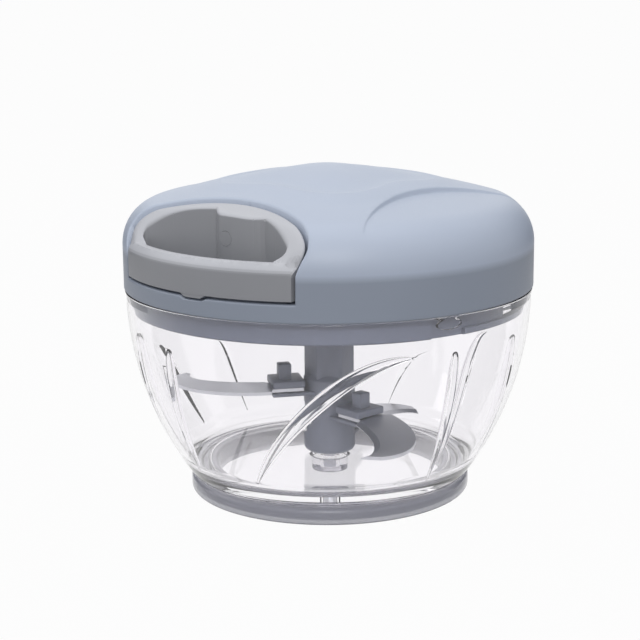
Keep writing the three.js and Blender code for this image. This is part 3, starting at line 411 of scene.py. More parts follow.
def lathe(name, profile, segments):
    """Body turned about the axis from (radius, height) points"""
    points = []
    rings = []
    for radius, height in profile:
        if radius < 1e-6:
            rings.append([len(points)] * segments)
            points.append((0, 0, height))
            continue
        rings.append(list(range(len(points), len(points) + segments)))
        points += [(*around(radius, 360 * i / segments), height) for i in range(segments)]
    faces = []
    for low, high in zip(rings, rings[1:] + rings[:1]):
        for i in range(segments):
            j = (i + 1) % segments
            face = list(dict.fromkeys((low[i], low[j], high[j], high[i])))
            if len(face) > 2:
                faces.append(face)
    return turned_outwards(shape_object(name, points, faces))


def loft(name, rings):
    """Closed body through rings of points that all have the same count"""
    count = len(rings[0])
    points = [point for ring in rings for point in ring]
    faces = [list(range(count))[::-1], [len(points) - count + i for i in range(count)]]
    for ring in range(len(rings) - 1):
        for i in range(count):
            a = ring * count + i
            b = ring * count + (i + 1) % count
            faces.append([a, b, b + count, a + count])
    return turned_outwards(shape_object(name, points, faces))


def prism(name, outline, low, high):
    return loft(name, [[(x, y, z) for x, y in outline] for z in (low, high)])


def sector(name, inner, outer, start, end, low, high, steps=24):
    """Part of a ring about the axis"""
    angles = np.linspace(start, end, steps + 1)
    outline = [around(outer, a) for a in angles] + [around(inner, a) for a in angles[::-1]]
    return prism(name, outline, low, high)


def bar(name, start, end, width, low, high, degrees=0):
    """Block that runs out from the axis"""
    half = width / 2
    outline = [(-half, -start), (-half, -end), (half, -end), (half, -start)]
    return spun(prism(name, outline, low, high), degrees)


def rod(name, radius, low, high, segments=32):
    return lathe(name, [(0, low), (radius, low), (radius, high), (0, high)], segments)


def along_cord(name, radius, start, end):
    """Rod on the cord's line, from one distance in front of the axis to another"""
    body = rod(name, radius, start, end)
    body.data.transform(Matrix.Translation((CORD_X, 0, CORD_HEIGHT)) @ Matrix.Rotation(QUARTER, 4, "X"))
    return body


def post(name, radius, low, high, place, degrees=0, segments=32):
    """Upright rod at a place around the axis"""
    body = rod(name, radius, low, high, segments)
    body.data.transform(Matrix.Translation((0, -place, 0)))
    return spun(body, degrees)


def frame_copy(node):
    """Merged copy of a node of the frame, in millimetres"""
    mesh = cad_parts[node].data.copy()
    mesh.materials.clear()
    mesh.transform(Matrix.Scale(1 / MM, 4))
    obj = bpy.data.objects.new(node + "_copy", mesh)
    bpy.context.scene.collection.objects.link(obj)
    merged = bmesh.new()
    merged.from_mesh(mesh)
    bmesh.ops.remove_doubles(merged, verts=merged.verts, dist=1e-4)
    merged.to_mesh(mesh)
    merged.free()
    return obj


def finish_piece(obj, name, body, finish, slot, *nodes, angle=35):
    """Puts a finished shape in the frame: metres, smooth shading, finish, body and nodes; its slot is not
    used
    """
    obj.name = name
    mesh = obj.data
    mesh.name = name
    mesh.transform(Matrix.Scale(MM, 4))
    mesh.shade_smooth()
    mesh.set_sharp_from_angle(angle=math.radians(angle))
    mesh.materials.clear()
    mesh.materials.append(material_of(finish))
    if isinstance(body, tuple):
        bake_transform(obj)
    else:
        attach(obj, body)
    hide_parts(*nodes)


# Lifted surfaces


def ease(value, low, high):
    """Share between two values, level at both ends"""
    share = np.clip((value - low) / (high - low), 0, 1)
    return share * share * (3 - 2 * share)


def quarter_round(distance, radius):
    """Depth that a rounded edge takes off at a distance from the edge"""
    inside = np.clip(radius - distance, 0, radius)
    return radius - np.sqrt(np.maximum(radius**2 - inside**2, 0))


def soft_least(a, b, width):
    """The lesser of two surfaces, with a rounding of some width where they cross"""
    share = np.clip(0.5 + 0.5 * (b - a) / width, 0, 1)
    return b + (a - b) * share - width * share * (1 - share)


def filled(features, boundary, inside, spacing, clearance):
    """Points of a triangle grid that keep clear of the features and the boundary"""
    tree = kdtree.KDTree(len(features) + len(boundary))
    for i, (x, y) in enumerate([*features, *boundary]):
        tree.insert((x, y, 0), i)
    tree.balance()
    low, high = np.min(boundary, axis=0), np.max(boundary, axis=0)
    points = []
    for row, y in enumerate(np.arange(low[1], high[1], spacing * math.sqrt(3) / 2)):
        for x in np.arange(low[0] + row % 2 * spacing / 2, high[0], spacing):
            if inside(x, y) and tree.find((x, y, 0))[2] > clearance:
                points.append((x, y))
    return points


def lifted(name, boundary, points, height, rows):
    """Surface over the points, carried down through rows of points around its boundary"""
    count = len(boundary)
    plan = [Vector(point) for point in [*boundary, *points]]
    edges = [(i, (i + 1) % count) for i in range(count)]
    result = delaunay_2d_cdt(plan, edges, [], 1, 1e-4, True)
    place = {source: i for i, sources in enumerate(result[3]) for source in sources}
    flat = np.array([tuple(point) for point in result[0]])
    shape = list(map(tuple, np.column_stack([flat, height(flat[:, 0], flat[:, 1])])))
    faces = [list(face) for face in result[2]]
    ring = [place[i] for i in range(count)]
    for row in rows:
        fresh = list(range(len(shape), len(shape) + count))
        shape.extend(tuple(point) for point in row)
        faces += [[ring[i], fresh[i], fresh[j], ring[j]] for i, j in edges]
        ring = fresh
    faces.append(ring)
    return turned_outwards(shape_object(name, shape, faces))


# Plan of the handle's recess


def recess_half_width(z):
    return HANDLE_HALF_WIDTH + HANDLE_FLARE * np.clip((z - FLARE_BOTTOM) / (FLARE_TOP - FLARE_BOTTOM), 0, 1)


def recess_corner(half_width):
    """Middle of the rounding between the recess's side and its rear"""
    x = half_width - RECESS_CORNER
    return x, RECESS_CENTRE + np.sqrt((RECESS_BOW - RECESS_CORNER) ** 2 - x**2)


def recess_distance(x, y, half_width):
    """Distance outside the handle's plan"""
    side = np.abs(x)
    corner_x, corner_y = recess_corner(half_width)
    from_arc = np.hypot(x, y - RECESS_CENTRE) - RECESS_BOW
    from_corner = np.hypot(side - corner_x, y - corner_y) - RECESS_CORNER
    turn = np.arctan2(side, y - RECESS_CENTRE)
    edge = np.arctan2(corner_x, corner_y - RECESS_CENTRE)
    rear = np.where(turn < edge, from_arc, from_corner)
    return np.where(y < corner_y, side - half_width, rear)


def recess_outline(half_width, grow, front, corner_steps=10, rear_steps=48):
    """Plan of the recess from its front right end round to its front left end"""
    corner = recess_corner(half_width)
    tangent = math.atan2(corner[1] - RECESS_CENTRE, corner[0])
    right = arc(corner, RECESS_CORNER + grow, 0, tangent, corner_steps)
    rear = arc((0, RECESS_CENTRE), RECESS_BOW + grow, tangent, math.pi - tangent, rear_steps)[1:-1]
    left = [(-x, y) for x, y in reversed(right)]
    return [(half_width + grow, -front), *right, *rear, *left, (-half_width - grow, -front)]


def recess_body(name, grow, low, high):
    wide = HANDLE_HALF_WIDTH + HANDLE_FLARE
    levels = ((HANDLE_HALF_WIDTH, low), (HANDLE_HALF_WIDTH, FLARE_BOTTOM), (wide, FLARE_TOP), (wide, high))
    return loft(name, [[(x, y, z) for x, y in recess_outline(w, grow, LID_RADIUS + 2)] for w, z in levels])


class Dome:
    """Crown, shoulder and wall of the lid, some way in from its outer face"""

    def __init__(self, sizes, inset=0.0):
        crown = sizes["crown_radius"]
        shoulder = sizes["shoulder_radius"]
        place = LID_RADIUS - shoulder
        self.centre = CROWN_TOP - crown
        rise = math.sqrt((crown - shoulder) ** 2 - place**2)
        self.shoulder_middle = (place, self.centre + rise)
        self.crown = crown - inset
        self.shoulder = shoulder - inset
        self.reach = LID_RADIUS - inset
        self.tangent = math.atan2(rise, place)

    def height(self, radius):
        place, middle = self.shoulder_middle
        crown = self.centre + np.sqrt(np.maximum(self.crown**2 - radius**2, 0))
        along = np.clip(radius - place, 0, self.shoulder)
        shoulder = middle + np.sqrt(np.maximum(self.shoulder**2 - along**2, 0))
        return np.where(radius < self.crown * math.cos(self.tangent), crown, shoulder)

    def profile(self, bottom, steps=24):
        shoulder = arc(self.shoulder_middle, self.shoulder, 0, self.tangent, steps)
        crown = arc((0, self.centre), self.crown, self.tangent, QUARTER, steps)
        return [(0, bottom), (self.reach, bottom), *shoulder, *crown[1:]]


def scallop_fall(sizes, x, y):
    """How far the three scallops sink the lid's surface"""
    radius = np.hypot(x, y)
    fall = sizes["scallop_depth"] * np.clip((SCALLOP_RIM - radius) / (SCALLOP_RIM - SCALLOP_REACH), 0, 1)
    sunk = 0
    for degrees in SCALLOP_ANGLES:
        centre = around(SCALLOP_REACH + SCALLOP_BOW, degrees)
        inside = SCALLOP_BOW - np.hypot(x - centre[0], y - centre[1])
        sunk = sunk + fall * ease(inside, *SCALLOP_EDGE)
    return sunk


def recess_rounding(sizes, x, y, z):
    """Depth of the rounded edge along the lid's recess, floor edge included"""
    beside = recess_distance(x, y, recess_half_width(z)) - RECESS_GAP
    below = RECESS_FLOOR - z
    outside = np.hypot(np.maximum(beside, 0), np.maximum(below, 0))
    distance = outside + np.minimum(np.maximum(beside, below), 0)
    radius = sizes["recess_round"] * (0.55 + 0.45 * ease(z, 74, 84))
    return quarter_round(distance, radius)


def lid_angles():
    """Angles around the lid, close together where the recess cuts its wall"""
    fine = np.arange(30.5, 39.01, 0.25)
    return np.concatenate([np.arange(-30.0, 30.1, 1.25), fine, np.linspace(39, 321, 190)[1:-1], -fine[::-1]])


def turned_rows(middle, radius, start, end, steps):
    """Rows around a rounding of the lid's section: radius, height and the way that the surface faces"""
    places = arc(middle, radius, start, end, steps)
    return [(*place, *way) for place, way in zip(places, arc((0, 0), 1, start, end, steps))]


def lid_rows(sizes, dome, angles):
    """Rows of points from the edge of the top patch down to the lid's lower edge"""
    first = math.acos((PATCH_RADIUS - dome.shoulder_middle[0]) / dome.shoulder)
    edge = (LID_RADIUS - LID_EDGE_ROUND, LID_EDGE + LID_EDGE_ROUND)
    places = [
        *turned_rows(dome.shoulder_middle, dome.shoulder, first, 0, 14)[1:],
        *[(LID_RADIUS, height, 1, 0) for height in WALL_ROWS],
        *turned_rows(edge, LID_EDGE_ROUND, 0, -QUARTER, 4),
    ]
    turns = np.radians(angles)
    ways = np.array([np.sin(turns), -np.cos(turns)])
    rows = []
    for radius, height, out, up in places:
        x, y = radius * ways
        z = height - scallop_fall(sizes, x, y)
        depth = recess_rounding(sizes, x, y, z)
        x, y = (radius - depth * out) * ways
        rows.append(np.column_stack([x, y, z - depth * up]))
    return rows


def cap_outline(x, y):
    """Radius of the cap's outline in the direction of a place"""
    return CAP_RADIUS + CAP_WAVE * np.cos(4 * (np.arctan2(x, -y) - math.pi / 4))


def lid_features():
    """Points along the lid's edges: the cap, the scallops and the recess"""
    turns = np.linspace(0, 360, 241)[:-1]
    points = [around(float(cap_outline(*around(1, a))) - inset, a) for inset in CAP_ROWS for a in turns]
    for degrees in SCALLOP_ANGLES:
        centre = around(SCALLOP_REACH + SCALLOP_BOW, degrees)
        for inset in SCALLOP_ROWS:
            for turn in np.linspace(-50, 50, 140):
                x, y = around(SCALLOP_BOW - inset, degrees + 180 + turn)
                points.append((centre[0] + x, centre[1] + y))
    half_width = HANDLE_HALF_WIDTH + HANDLE_FLARE
    for grow in RECESS_ROWS:
        points += recess_outline(half_width, RECESS_GAP + grow, LID_RADIUS, 12, 80)
        for side in (-1, 1):
            across = side * (half_width + RECESS_GAP + grow)
            points += [(across, y) for y in SIDE_ROWS]
    return [point for point in points if math.hypot(*point) < PATCH_RADIUS - 0.25]


def lid_shell(sizes):
    dome = Dome(sizes)
    angles = lid_angles()
    boundary = [around(PATCH_RADIUS, a) for a in angles]
    brim = sizes["cap_brim"]

    def height(x, y):
        radius = np.hypot(x, y)
        outline = cap_outline(x, y)
        share = np.minimum(radius / outline, 1)
        bell = (LID_TOP - CROWN_TOP) * (1 - share**2) ** 1.4 + brim * share**12
        fade = brim * (1 - ease(radius - outline, 0, sizes["cap_fade"]))
        z = dome.height(radius) + np.where(radius < outline, bell, fade)
        z = z - scallop_fall(sizes, x, y)
        return z - recess_rounding(sizes, x, y, z)

    features = lid_features()

    def inside(x, y):
        return math.hypot(x, y) < PATCH_RADIUS - 0.5

    grid = filled(features, boundary, inside, spacing=1.3, clearance=0.5)
    body = lifted("lid", boundary, features + grid, height, lid_rows(sizes, dome, angles))
    wall = recess_body("wall", RECESS_GAP + RECESS_WALL, RECESS_FLOOR - RECESS_UNDER, ABOVE)
    air = cut(lathe("air", Dome(sizes, LID_WALL).profile(BELOW), 160), frame_copy("lid_shell"), wall)
    return cut(
        body,
        rod("rebate", REBATE_RADIUS, BELOW, REBATE_TOP, FINE_TURN),
        air,
        recess_body("recess", RECESS_GAP, RECESS_FLOOR, ABOVE),
        tab_shape("notch", LID_RADIUS - 3.7, LID_RADIUS + 2, RECESS_GAP, HANDLE_BOTTOM + 1.3),
        along_cord("tunnel", TUNNEL_RADIUS, *TUNNEL),
    )


# Handle


def tab_shape(name, inner, outer, grow, high):
    """Rounded tab that hangs under the grip bar, or the notch that it lies in"""
    half = TAB_HALF_TURN + grow * 0.6
    rings = []
    for degrees in np.linspace(-half, half, 33):
        bump = float(ease(half - abs(degrees), 0, TAB_FADE))
        low = HANDLE_BOTTOM + TAB_SINK - grow - (TAB_DEPTH + TAB_SINK) * bump
        near, far = around(inner, degrees + TAB_TURN), around(outer, degrees + TAB_TURN)
        rings.append([(*near, low), (*far, low), (*far, high), (*near, high)])
    return loft(name, rings)


def slot_distance(x, y):
    """Distance outside the finger slot"""
    sides = np.stack(
        [
            np.hypot(x, y) - (LID_RADIUS - GRIP_WALL),
            np.hypot(x, y - RECESS_CENTRE) - (RECESS_BOW - REAR_WALL),
            np.abs(x) - (HANDLE_HALF_WIDTH - END_WALL),
        ]
    ) + SLOT_CORNER
    outside = np.sqrt(np.sum(np.maximum(sides, 0) ** 2, axis=0))
    return outside + np.minimum(np.max(sides, axis=0), 0) - SLOT_CORNER


def boss_distance(x, y):
    """Distance outside the cord's boss, a low hump on the slot's rear wall"""
    side = -soft_least(-beyond(x, y, *BOSS_LEFT), -beyond(x, y, *BOSS_RIGHT), 0.1)
    return -soft_least(-side, y + BOSS_FACE, 1.5)


def beyond(x, y, start, end):
    """Distance outside a line, to the right of the way from its start to its end"""
    run = (end[0] - start[0], end[1] - start[1])
    return ((x - start[0]) * run[1] - (y - start[1]) * run[0]) / math.hypot(*run)


def slot_outline(distance):
    """Edge of the handle's opening, found along rays from its middle"""
    turns = np.linspace(0, 2 * math.pi, 1441)[:-1]
    x, y = np.cos(turns), np.sin(turns)
    near, far = np.zeros_like(turns), np.full_like(turns, 40.0)
    for _ in range(32):
        middle = (near + far) / 2
        inside = distance(x * middle, y * middle + SLOT_MIDDLE) < 0
        near, far = np.where(inside, middle, near), np.where(inside, far, middle)
    return list(zip(x * near, y * near + SLOT_MIDDLE))


def evenly(points, spacing):
    """Closed outline again with its points at even steps"""
    places = np.array([*points, points[0]])
    lengths = np.concatenate([[0], np.cumsum(np.hypot(*np.diff(places, axis=0).T))])
    steps = np.linspace(0, lengths[-1], int(lengths[-1] / spacing) + 1)[:-1]
    return list(zip(np.interp(steps, lengths, places[:, 0]), np.interp(steps, lengths, places[:, 1])))


def grown_outline(distance, outline, level):
    """Points of an outline moved away from it, up the distance's slope"""
    x, y = np.array(outline).T
    reach = 0.02
    slope_x = distance(x + reach, y) - distance(x - reach, y)
    slope_y = distance(x, y + reach) - distance(x, y - reach)
    size = np.maximum(np.hypot(slope_x, slope_y), 1e-6)
    return list(zip(x + slope_x / size * level, y + slope_y / size * level))


def thinned(points, least):
    """Points without those that lie too near an earlier one"""
    kept = []
    cells = {}
    around_cell = [(i, j) for i in (-1, 0, 1) for j in (-1, 0, 1)]
    for x, y in points:
        column, row = int(x // least), int(y // least)
        near = [q for i, j in around_cell for q in cells.get((column + i, row + j), ())]
        if all(math.hypot(x - q[0], y - q[1]) >= least for q in near):
            cells.setdefault((column, row), []).append((x, y))
            kept.append((x, y))
    return kept


def handle_plan():
    """Outline of the surface that the handle is cut from"""
    front = [around(LID_RADIUS, a) for a in np.linspace(-PLAN_TURN, PLAN_TURN, 149)]
    corner_x, corner_y = front[-1]
    side = np.arange(corner_y, PLAN_BACK, 1.2)
    back = [(x, PLAN_BACK) for x in np.linspace(corner_x, -corner_x, 64)]
    return [*front, *[(corner_x, y) for y in side[1:]], *back, *[(-corner_x, y) for y in side[:0:-1]]]


def handle_features(hole, outline):
    """Points along the handle's edges: grip, plan, opening and end slopes"""
    points = []
    for inset in GRIP_ROWS:
        points += [around(LID_RADIUS - inset, a) for a in np.linspace(-PLAN_TURN, PLAN_TURN, 149)[1:-1]]
    for inset in LOOP_ROWS:
        points += recess_outline(HANDLE_HALF_WIDTH + HANDLE_FLARE, -inset, LID_RADIUS, 14, 90)
        for side in (-1, 1):
            for z in (GRIP_TOP, GRIP_TOP + SLOPE_RISE):
                across = side * (float(recess_half_width(z)) - inset)
                points += [(across, y) for y in SLOPE_ROWS]
    for level in SLOT_ROWS:
        points += grown_outline(hole, outline, level)
    points += [(x, y) for y in (SLOPE_START, SLOPE_END) for x in np.arange(-34, 34, 0.5)]
    points = [p for p in points if handle_inside(*p, front=0.02, back=0.4, side=36.8)]
    return thinned(points, least=0.045)


def handle_inside(x, y, front, back, side):
    """Whether a place is inside the handle's plan, some way in at its front and back"""
    return math.hypot(x, y) < LID_RADIUS - front and y < PLAN_BACK - back and abs(x) < side


def handle_loop(sizes):
    dome = Dome(sizes)
    under = Dome(sizes, sizes["handle_drop"])

    def hole(x, y):
        return np.maximum(slot_distance(x, y), -boss_distance(x, y))

    def height(x, y):
        radius = np.hypot(x, y)
        slope = GRIP_TOP + SLOPE_RISE * (y - SLOPE_START) / (SLOPE_END - SLOPE_START)
        loop = soft_least(under.height(radius), np.maximum(slope, GRIP_TOP), SLOPE_BLEND)
        loop = np.where(radius < under.reach, loop, 0)
        along = np.clip(radius - (LID_RADIUS - GRIP_ROUND), 0, GRIP_ROUND)
        grip = GRIP_TOP - GRIP_ROUND + np.sqrt(np.maximum(GRIP_ROUND**2 - along**2, 0))
        grip = np.where(radius > LID_RADIUS - GRIP_WALL - GRIP_ROUND, grip, 0)
        z = np.maximum(loop, np.minimum(grip, dome.height(radius)))
        z = np.where(boss_distance(x, y) < 0, under.height(radius), z)
        outer = -recess_distance(x, y, recess_half_width(z))
        return z - quarter_round(np.minimum(outer, hole(x, y)), sizes["handle_round"])

    outline = evenly(slot_outline(hole), 0.4)
    boundary = handle_plan()
    features = handle_features(hole, outline)

    def inside(x, y):
        return handle_inside(x, y, front=0.3, back=0.5, side=36.5)

    grid = filled(features, boundary, inside, spacing=0.8, clearance=0.3)
    bottom = [(x, y, BELOW) for x, y in boundary]
    loop = lifted("handle", boundary, features + grid, height, [bottom])
    loop = common(loop, recess_body("plan", 0, HANDLE_BOTTOM, ABOVE))
    slot = prism("slot", grown_outline(hole, outline, 0.01), BELOW, ABOVE)
    bore = along_cord("bore", CORD_BORE, -PLAN_BACK, BOSS_FACE + 1.2)
    pocket = along_cord("pocket", POCKET_RADIUS, KNOT_CENTRE - KNOT_HALF, BOSS_FACE - 1.2)
    mouth = along_cord("mouth", MOUTH_RADIUS, BOSS_FACE - 1.4, BOSS_FACE + 4.2)
    tab = tab_shape("tab", LID_RADIUS - 3.4, LID_RADIUS - 0.1, 0, HANDLE_BOTTOM + 3.2)
    return join(cut(loop, slot, bore, pocket, mouth), tab)


# Bowl


FOOT_PROFILE = (
    (0, 2.2),
    (5.7, 2.2, 0.4),
    (5.7, 7.6, 0.8),
    (38.4, 7.6, 1.2),
    (38.4, 1.5, 0.5),
    (40.6, 1.5, 0.5),
    (40.6, 5.2, 0.3),
    (42.0, 5.2, 0.3),
)
FOOT_RING_PROFILE = (
    (35.6, 0, 0.4),
    (43.3, 0, 1.0),
    (43.3, 4.9, 1.3),
    (40.8, 4.9, 0.4),
    (40.8, 1.2, 0.3),
    (38.2, 1.2, 0.3),
    (38.2, 7.2, 0.5),
    (35.6, 7.2, 0.9),
)
SEAT_PROFILE = ((5, BOWL_FLOOR, 0.2), (5, 10.1, 0.2), (2.2, 10.1, 0.2), (2.2, 3.4), (0, 3.4))


def wall_radius(z, inset=0.0):
    """Radius of the bowl's wall at a height, some way in from its outer face"""
    span = np.array([BOWL_RIM_RADIUS - BOWL_HIP_RADIUS, BOWL_RIM - BOWL_HIP])
    half = np.hypot(*span) / 2
    depth = math.sqrt(BOWL_BOW**2 - half**2)
    along = span / np.hypot(*span)
    centre_radius = (BOWL_RIM_RADIUS + BOWL_HIP_RADIUS) / 2 - along[1] * depth
    centre_height = (BOWL_RIM + BOWL_HIP) / 2 + along[0] * depth
    return centre_radius + math.sqrt((BOWL_BOW - inset) ** 2 - (z - centre_height) ** 2)


def bowl_profile():
    shoulder = BOWL_RIM - 1.4
    outer = [(wall_radius(z), z) for z in np.linspace(BOWL_HIP + 1.2, shoulder, 30)]
    inner = [(wall_radius(z, BOWL_WALL), z) for z in np.linspace(shoulder, BOWL_FLOOR + 5, 30)]
    rim = [
        outer[-1],
        (RIM_LIP - 0.2, RIM_TOP - 1.1),
        (RIM_LIP, RIM_TOP, 0.5),
        (wall_radius(BOWL_RIM, BOWL_WALL), RIM_TOP, 0.5),
        inner[0],
    ]
    corner_top = BOWL_FLOOR + BOWL_CORNER
    corner_place = wall_radius(corner_top, BOWL_WALL) - BOWL_CORNER
    corner = arc((corner_place, corner_top), BOWL_CORNER, 0, -QUARTER, 8)
    foot = [*FOOT_PROFILE, (BOWL_HIP_RADIUS, BOWL_HIP, 0.8), outer[0]]
    foot, rim, seat = (rounded(p, closed=False) for p in (foot, rim, [corner[-1], *SEAT_PROFILE]))
    return foot + outer[1:-1] + rim + inner[1:] + corner + seat[1:]


def rib_shape(sizes, start, sweep, bend, low, high, width):
    """Rib that climbs the bowl's inner wall, with its swell kept at each point"""
    shares = np.linspace(0, 1, 33)
    heights = low + (high - low) * np.sin(shares * QUARTER)
    spots = zip(heights, start + sweep * shares**bend)
    path = [(*around(wall_radius(z, BOWL_WALL) + 0.1, degrees), z) for z, degrees in spots]
    rib = edge_path(path)
    swells = rib.data.attributes.new("swell", "FLOAT", "POINT")
    swells.data.foreach_set("value", np.sin(math.pi * (0.02 + 0.96 * shares)) ** 0.7)
    return turned_outwards(grown(rib, rib_tree(), "bowl", Width=width, Height=sizes["rib_proud"] + 0.1))


def bowl_lug(degrees):
    inner = wall_radius(LUG_HEIGHT, BOWL_WALL) - LUG_REACH
    outer = wall_radius(LUG_HEIGHT, BOWL_WALL / 2)
    outline = rounded([(0, inner), (1, inner, 0.3), (1, outer), (0, outer)])
    lug = lathe("lug", outline, 48)
    lug.data.transform(Matrix.Diagonal(LUG_SHAPE))
    lug.data.transform(Matrix.Translation((0, 0, LUG_HEIGHT)) @ Matrix.Rotation(QUARTER, 4, "X"))
    return spun(lug, degrees)


def bowl_shape(sizes):
    path = edge_path([(radius - 1.0, -height, 0) for radius, height in bowl_profile()])
    body = turned_outwards(grown(path, turning_tree(), "bowl", Segments=FINE_TURN))
    return join(body, *[rib_shape(sizes, *rib) for rib in RIBS], *[bowl_lug(a) for a in LUG_ANGLES])


# Geometry Nodes


class Nodes:
    """Adds nodes to a tree with their links, values and settings in one call"""

    def __init__(self, tree):
        self.tree = tree

    def node(self, kind, links=None, values=None, **settings):
        node = self.tree.nodes.new(kind)
        for name, value in settings.items():
            setattr(node, name, value)
        for name, value in (values or {}).items():
            node.inputs[name].default_value = value
        for name, socket in (links or {}).items():
            self.tree.links.new(socket, node.inputs[name])
        return node

    def maths(self, operation, *inputs, kind="ShaderNodeMath"):
        """First output of a maths node, its inputs sockets or plain values"""
        links = {i: value for i, value in enumerate(inputs) if isinstance(value, bpy.types.NodeSocket)}
        values = {i: value for i, value in enumerate(inputs) if i not in links}
        return self.node(kind, links, values, operation=operation).outputs[0]

    def vector(self, operation, *inputs):
        return self.maths(operation, *inputs, kind="ShaderNodeVectorMath")


class Shape(Nodes):
    """Geometry Nodes tree with named inputs, the finish last"""

    def __init__(self, name, **inputs):
        super().__init__(bpy.data.node_groups.new(name, "GeometryNodeTree"))
        face = self.tree.interface
        face.new_socket("Geometry", in_out="INPUT", socket_type="NodeSocketGeometry")
        for label, kind in {**inputs, "Finish": "NodeSocketMaterial"}.items():
            face.new_socket(label, in_out="INPUT", socket_type=kind)
        face.new_socket("Geometry", in_out="OUTPUT", socket_type="NodeSocketGeometry")
        self.inputs = self.tree.nodes.new("NodeGroupInput").outputs

    def step(self, kind, links=None, values=None, **settings):
        """First output of a Geometry Nodes node"""
        return self.node(kind, links, values, **settings).outputs[0]

    def finish(self, geometry):
        """Ends the tree in Realize Instances and Set Material"""
        real = self.step("GeometryNodeRealizeInstances", {"Geometry": geometry})
        done = self.step("GeometryNodeSetMaterial", {"Geometry": real, "Material": self.inputs["Finish"]})
        self.node("NodeGroupOutput", {"Geometry": done})
        return self.tree


def turning_tree():
    """Turns a profile in the XY plane about the Z axis"""
    tree = Shape("Turned profile", Segments="NodeSocketInt")
    profile = tree.step("GeometryNodeMeshToCurve", {"Mesh": tree.inputs["Geometry"]})
    segments = {"Resolution": tree.inputs["Segments"]}
    circle = tree.step("GeometryNodeCurvePrimitiveCircle", segments, {"Radius": 1.0})
    swept = tree.step("GeometryNodeCurveToMesh", {"Curve": circle, "Profile Curve": profile})
    return tree.finish(tree.step("GeometryNodeMergeByDistance", {"Geometry": swept}, {"Distance": 1e-4}))


def rib_tree():
    """Sweeps a flattened round section along a path, as wide as its swell says"""
    tree = Shape("Swept rib", Width="NodeSocketFloat", Height="NodeSocketFloat")
    path = tree.step("GeometryNodeMeshToCurve", {"Mesh": tree.inputs["Geometry"]})
    level = tree.vector("MULTIPLY", tree.step("GeometryNodeInputPosition"), (1, 1, 0))
    lean = tree.vector("PROJECT", level, tree.step("GeometryNodeInputTangent"))
    outward = tree.vector("NORMALIZE", tree.vector("SUBTRACT", level, lean))
    faced = tree.step("GeometryNodeSetCurveNormal", {"Curve": path, "Normal": outward}, mode="FREE")
    swell = tree.step("GeometryNodeInputNamedAttribute", None, {"Name": "swell"})
    section = tree.step("GeometryNodeCurvePrimitiveCircle", None, {"Resolution": 14, "Radius": 1.0})
    half = tree.maths("MULTIPLY", tree.inputs["Width"], 0.5)
    shape = tree.node("ShaderNodeCombineXYZ", {"X": tree.inputs["Height"], "Y": half}, {"Z": 1.0})
    flat = tree.step("GeometryNodeTransform", {"Geometry": section, "Scale": shape.outputs[0]})
    links = {"Curve": faced, "Profile Curve": flat, "Scale": swell}
    return tree.finish(tree.step("GeometryNodeCurveToMesh", links, {"Fill Caps": True}))


def edge_path(points):
    """Object of bare edges from point to point"""
    return shape_object("path", points, [], [(i, i + 1) for i in range(len(points) - 1)])


def grown(obj, tree, finish, **values):
    """Runs a tree on an object, its inputs set by identifier, and keeps the plain mesh"""
    values["Finish"] = material_of(finish)
    modifier = obj.modifiers.new(tree.name, "NODES")
    modifier.node_group = tree
    for item in tree.interface.items_tree:
        if item.in_out == "INPUT" and item.name in values:
            modifier[item.identifier] = values[item.name]
    baked(obj)
    bpy.data.node_groups.remove(tree)
    return obj


# Lid base, rings and rotor


def skirt_radius():
    return wall_radius(SKIRT_LOW, BOWL_WALL) - SKIRT_GAP


def lid_base():
    outer = skirt_radius()
    inner = outer - SKIRT_WALL
    neck = outer - SKIRT_NECK
    collar_inner, collar_outer, collar_low = COLLAR
    profile = (
        (collar_inner, collar_low, 0.3),
        (collar_outer, collar_low, 0.3),
        (collar_outer, BASE_LOW, 0.5),
        (inner, BASE_LOW, 0.8),
        (inner, SKIRT_LOW, 0.5),
        (outer, SKIRT_LOW, 0.6),
        (outer, GROOVE[1], 0.3),
        (neck, GROOVE[1], 0.2),
        (neck, BASE_LOW, 0.2),
        (BASE_RADIUS, BASE_LOW, 0.3),
        (BASE_RADIUS, BASE_TOP, 0.3),
        (collar_inner, BASE_TOP, 0.3),
    )
    body = lathe("lid_base", rounded(profile), FINE_TURN)
    cuts = []
    for degrees in LUG_ANGLES:
        start, entry, end = (degrees + turn for turn in (-ENTRY_HALF_TURN, ENTRY_HALF_TURN, GROOVE_TURN))
        floor, reach = outer - 1.3, outer + 2
        cuts.append(sector("entry", floor, reach, start, entry, ENTRY_LOW, GROOVE[1], 12))
        cuts.append(sector("groove", floor, reach, start, end, *GROOVE, 24))
        window = sector("window", inner - 2, reach, end - WINDOW_TURN, end, *GROOVE, 12)
        cuts.append(bevelled(window, 0.5, angle=60))
    for degrees in BOSS_ANGLES:
        cuts.append(post("hole", SCREW_HOLE, collar_low, BASE_TOP + 2, BOSS_PLACE, degrees))
    for tool in cuts:
        cut(body, tool)
    return body


def seal_ring():
    low, high, edge = SEAL
    inner = skirt_radius() - SKIRT_NECK + 0.2
    corners = ((inner, low), (BASE_RADIUS, low), (BASE_RADIUS, high), (inner, high))
    return lathe("seal_ring", rounded([(*corner, edge) for corner in corners]), FINE_TURN)


def foot_ring():
    return lathe("foot_ring", rounded(FOOT_RING_PROFILE, 6), FINE_TURN)


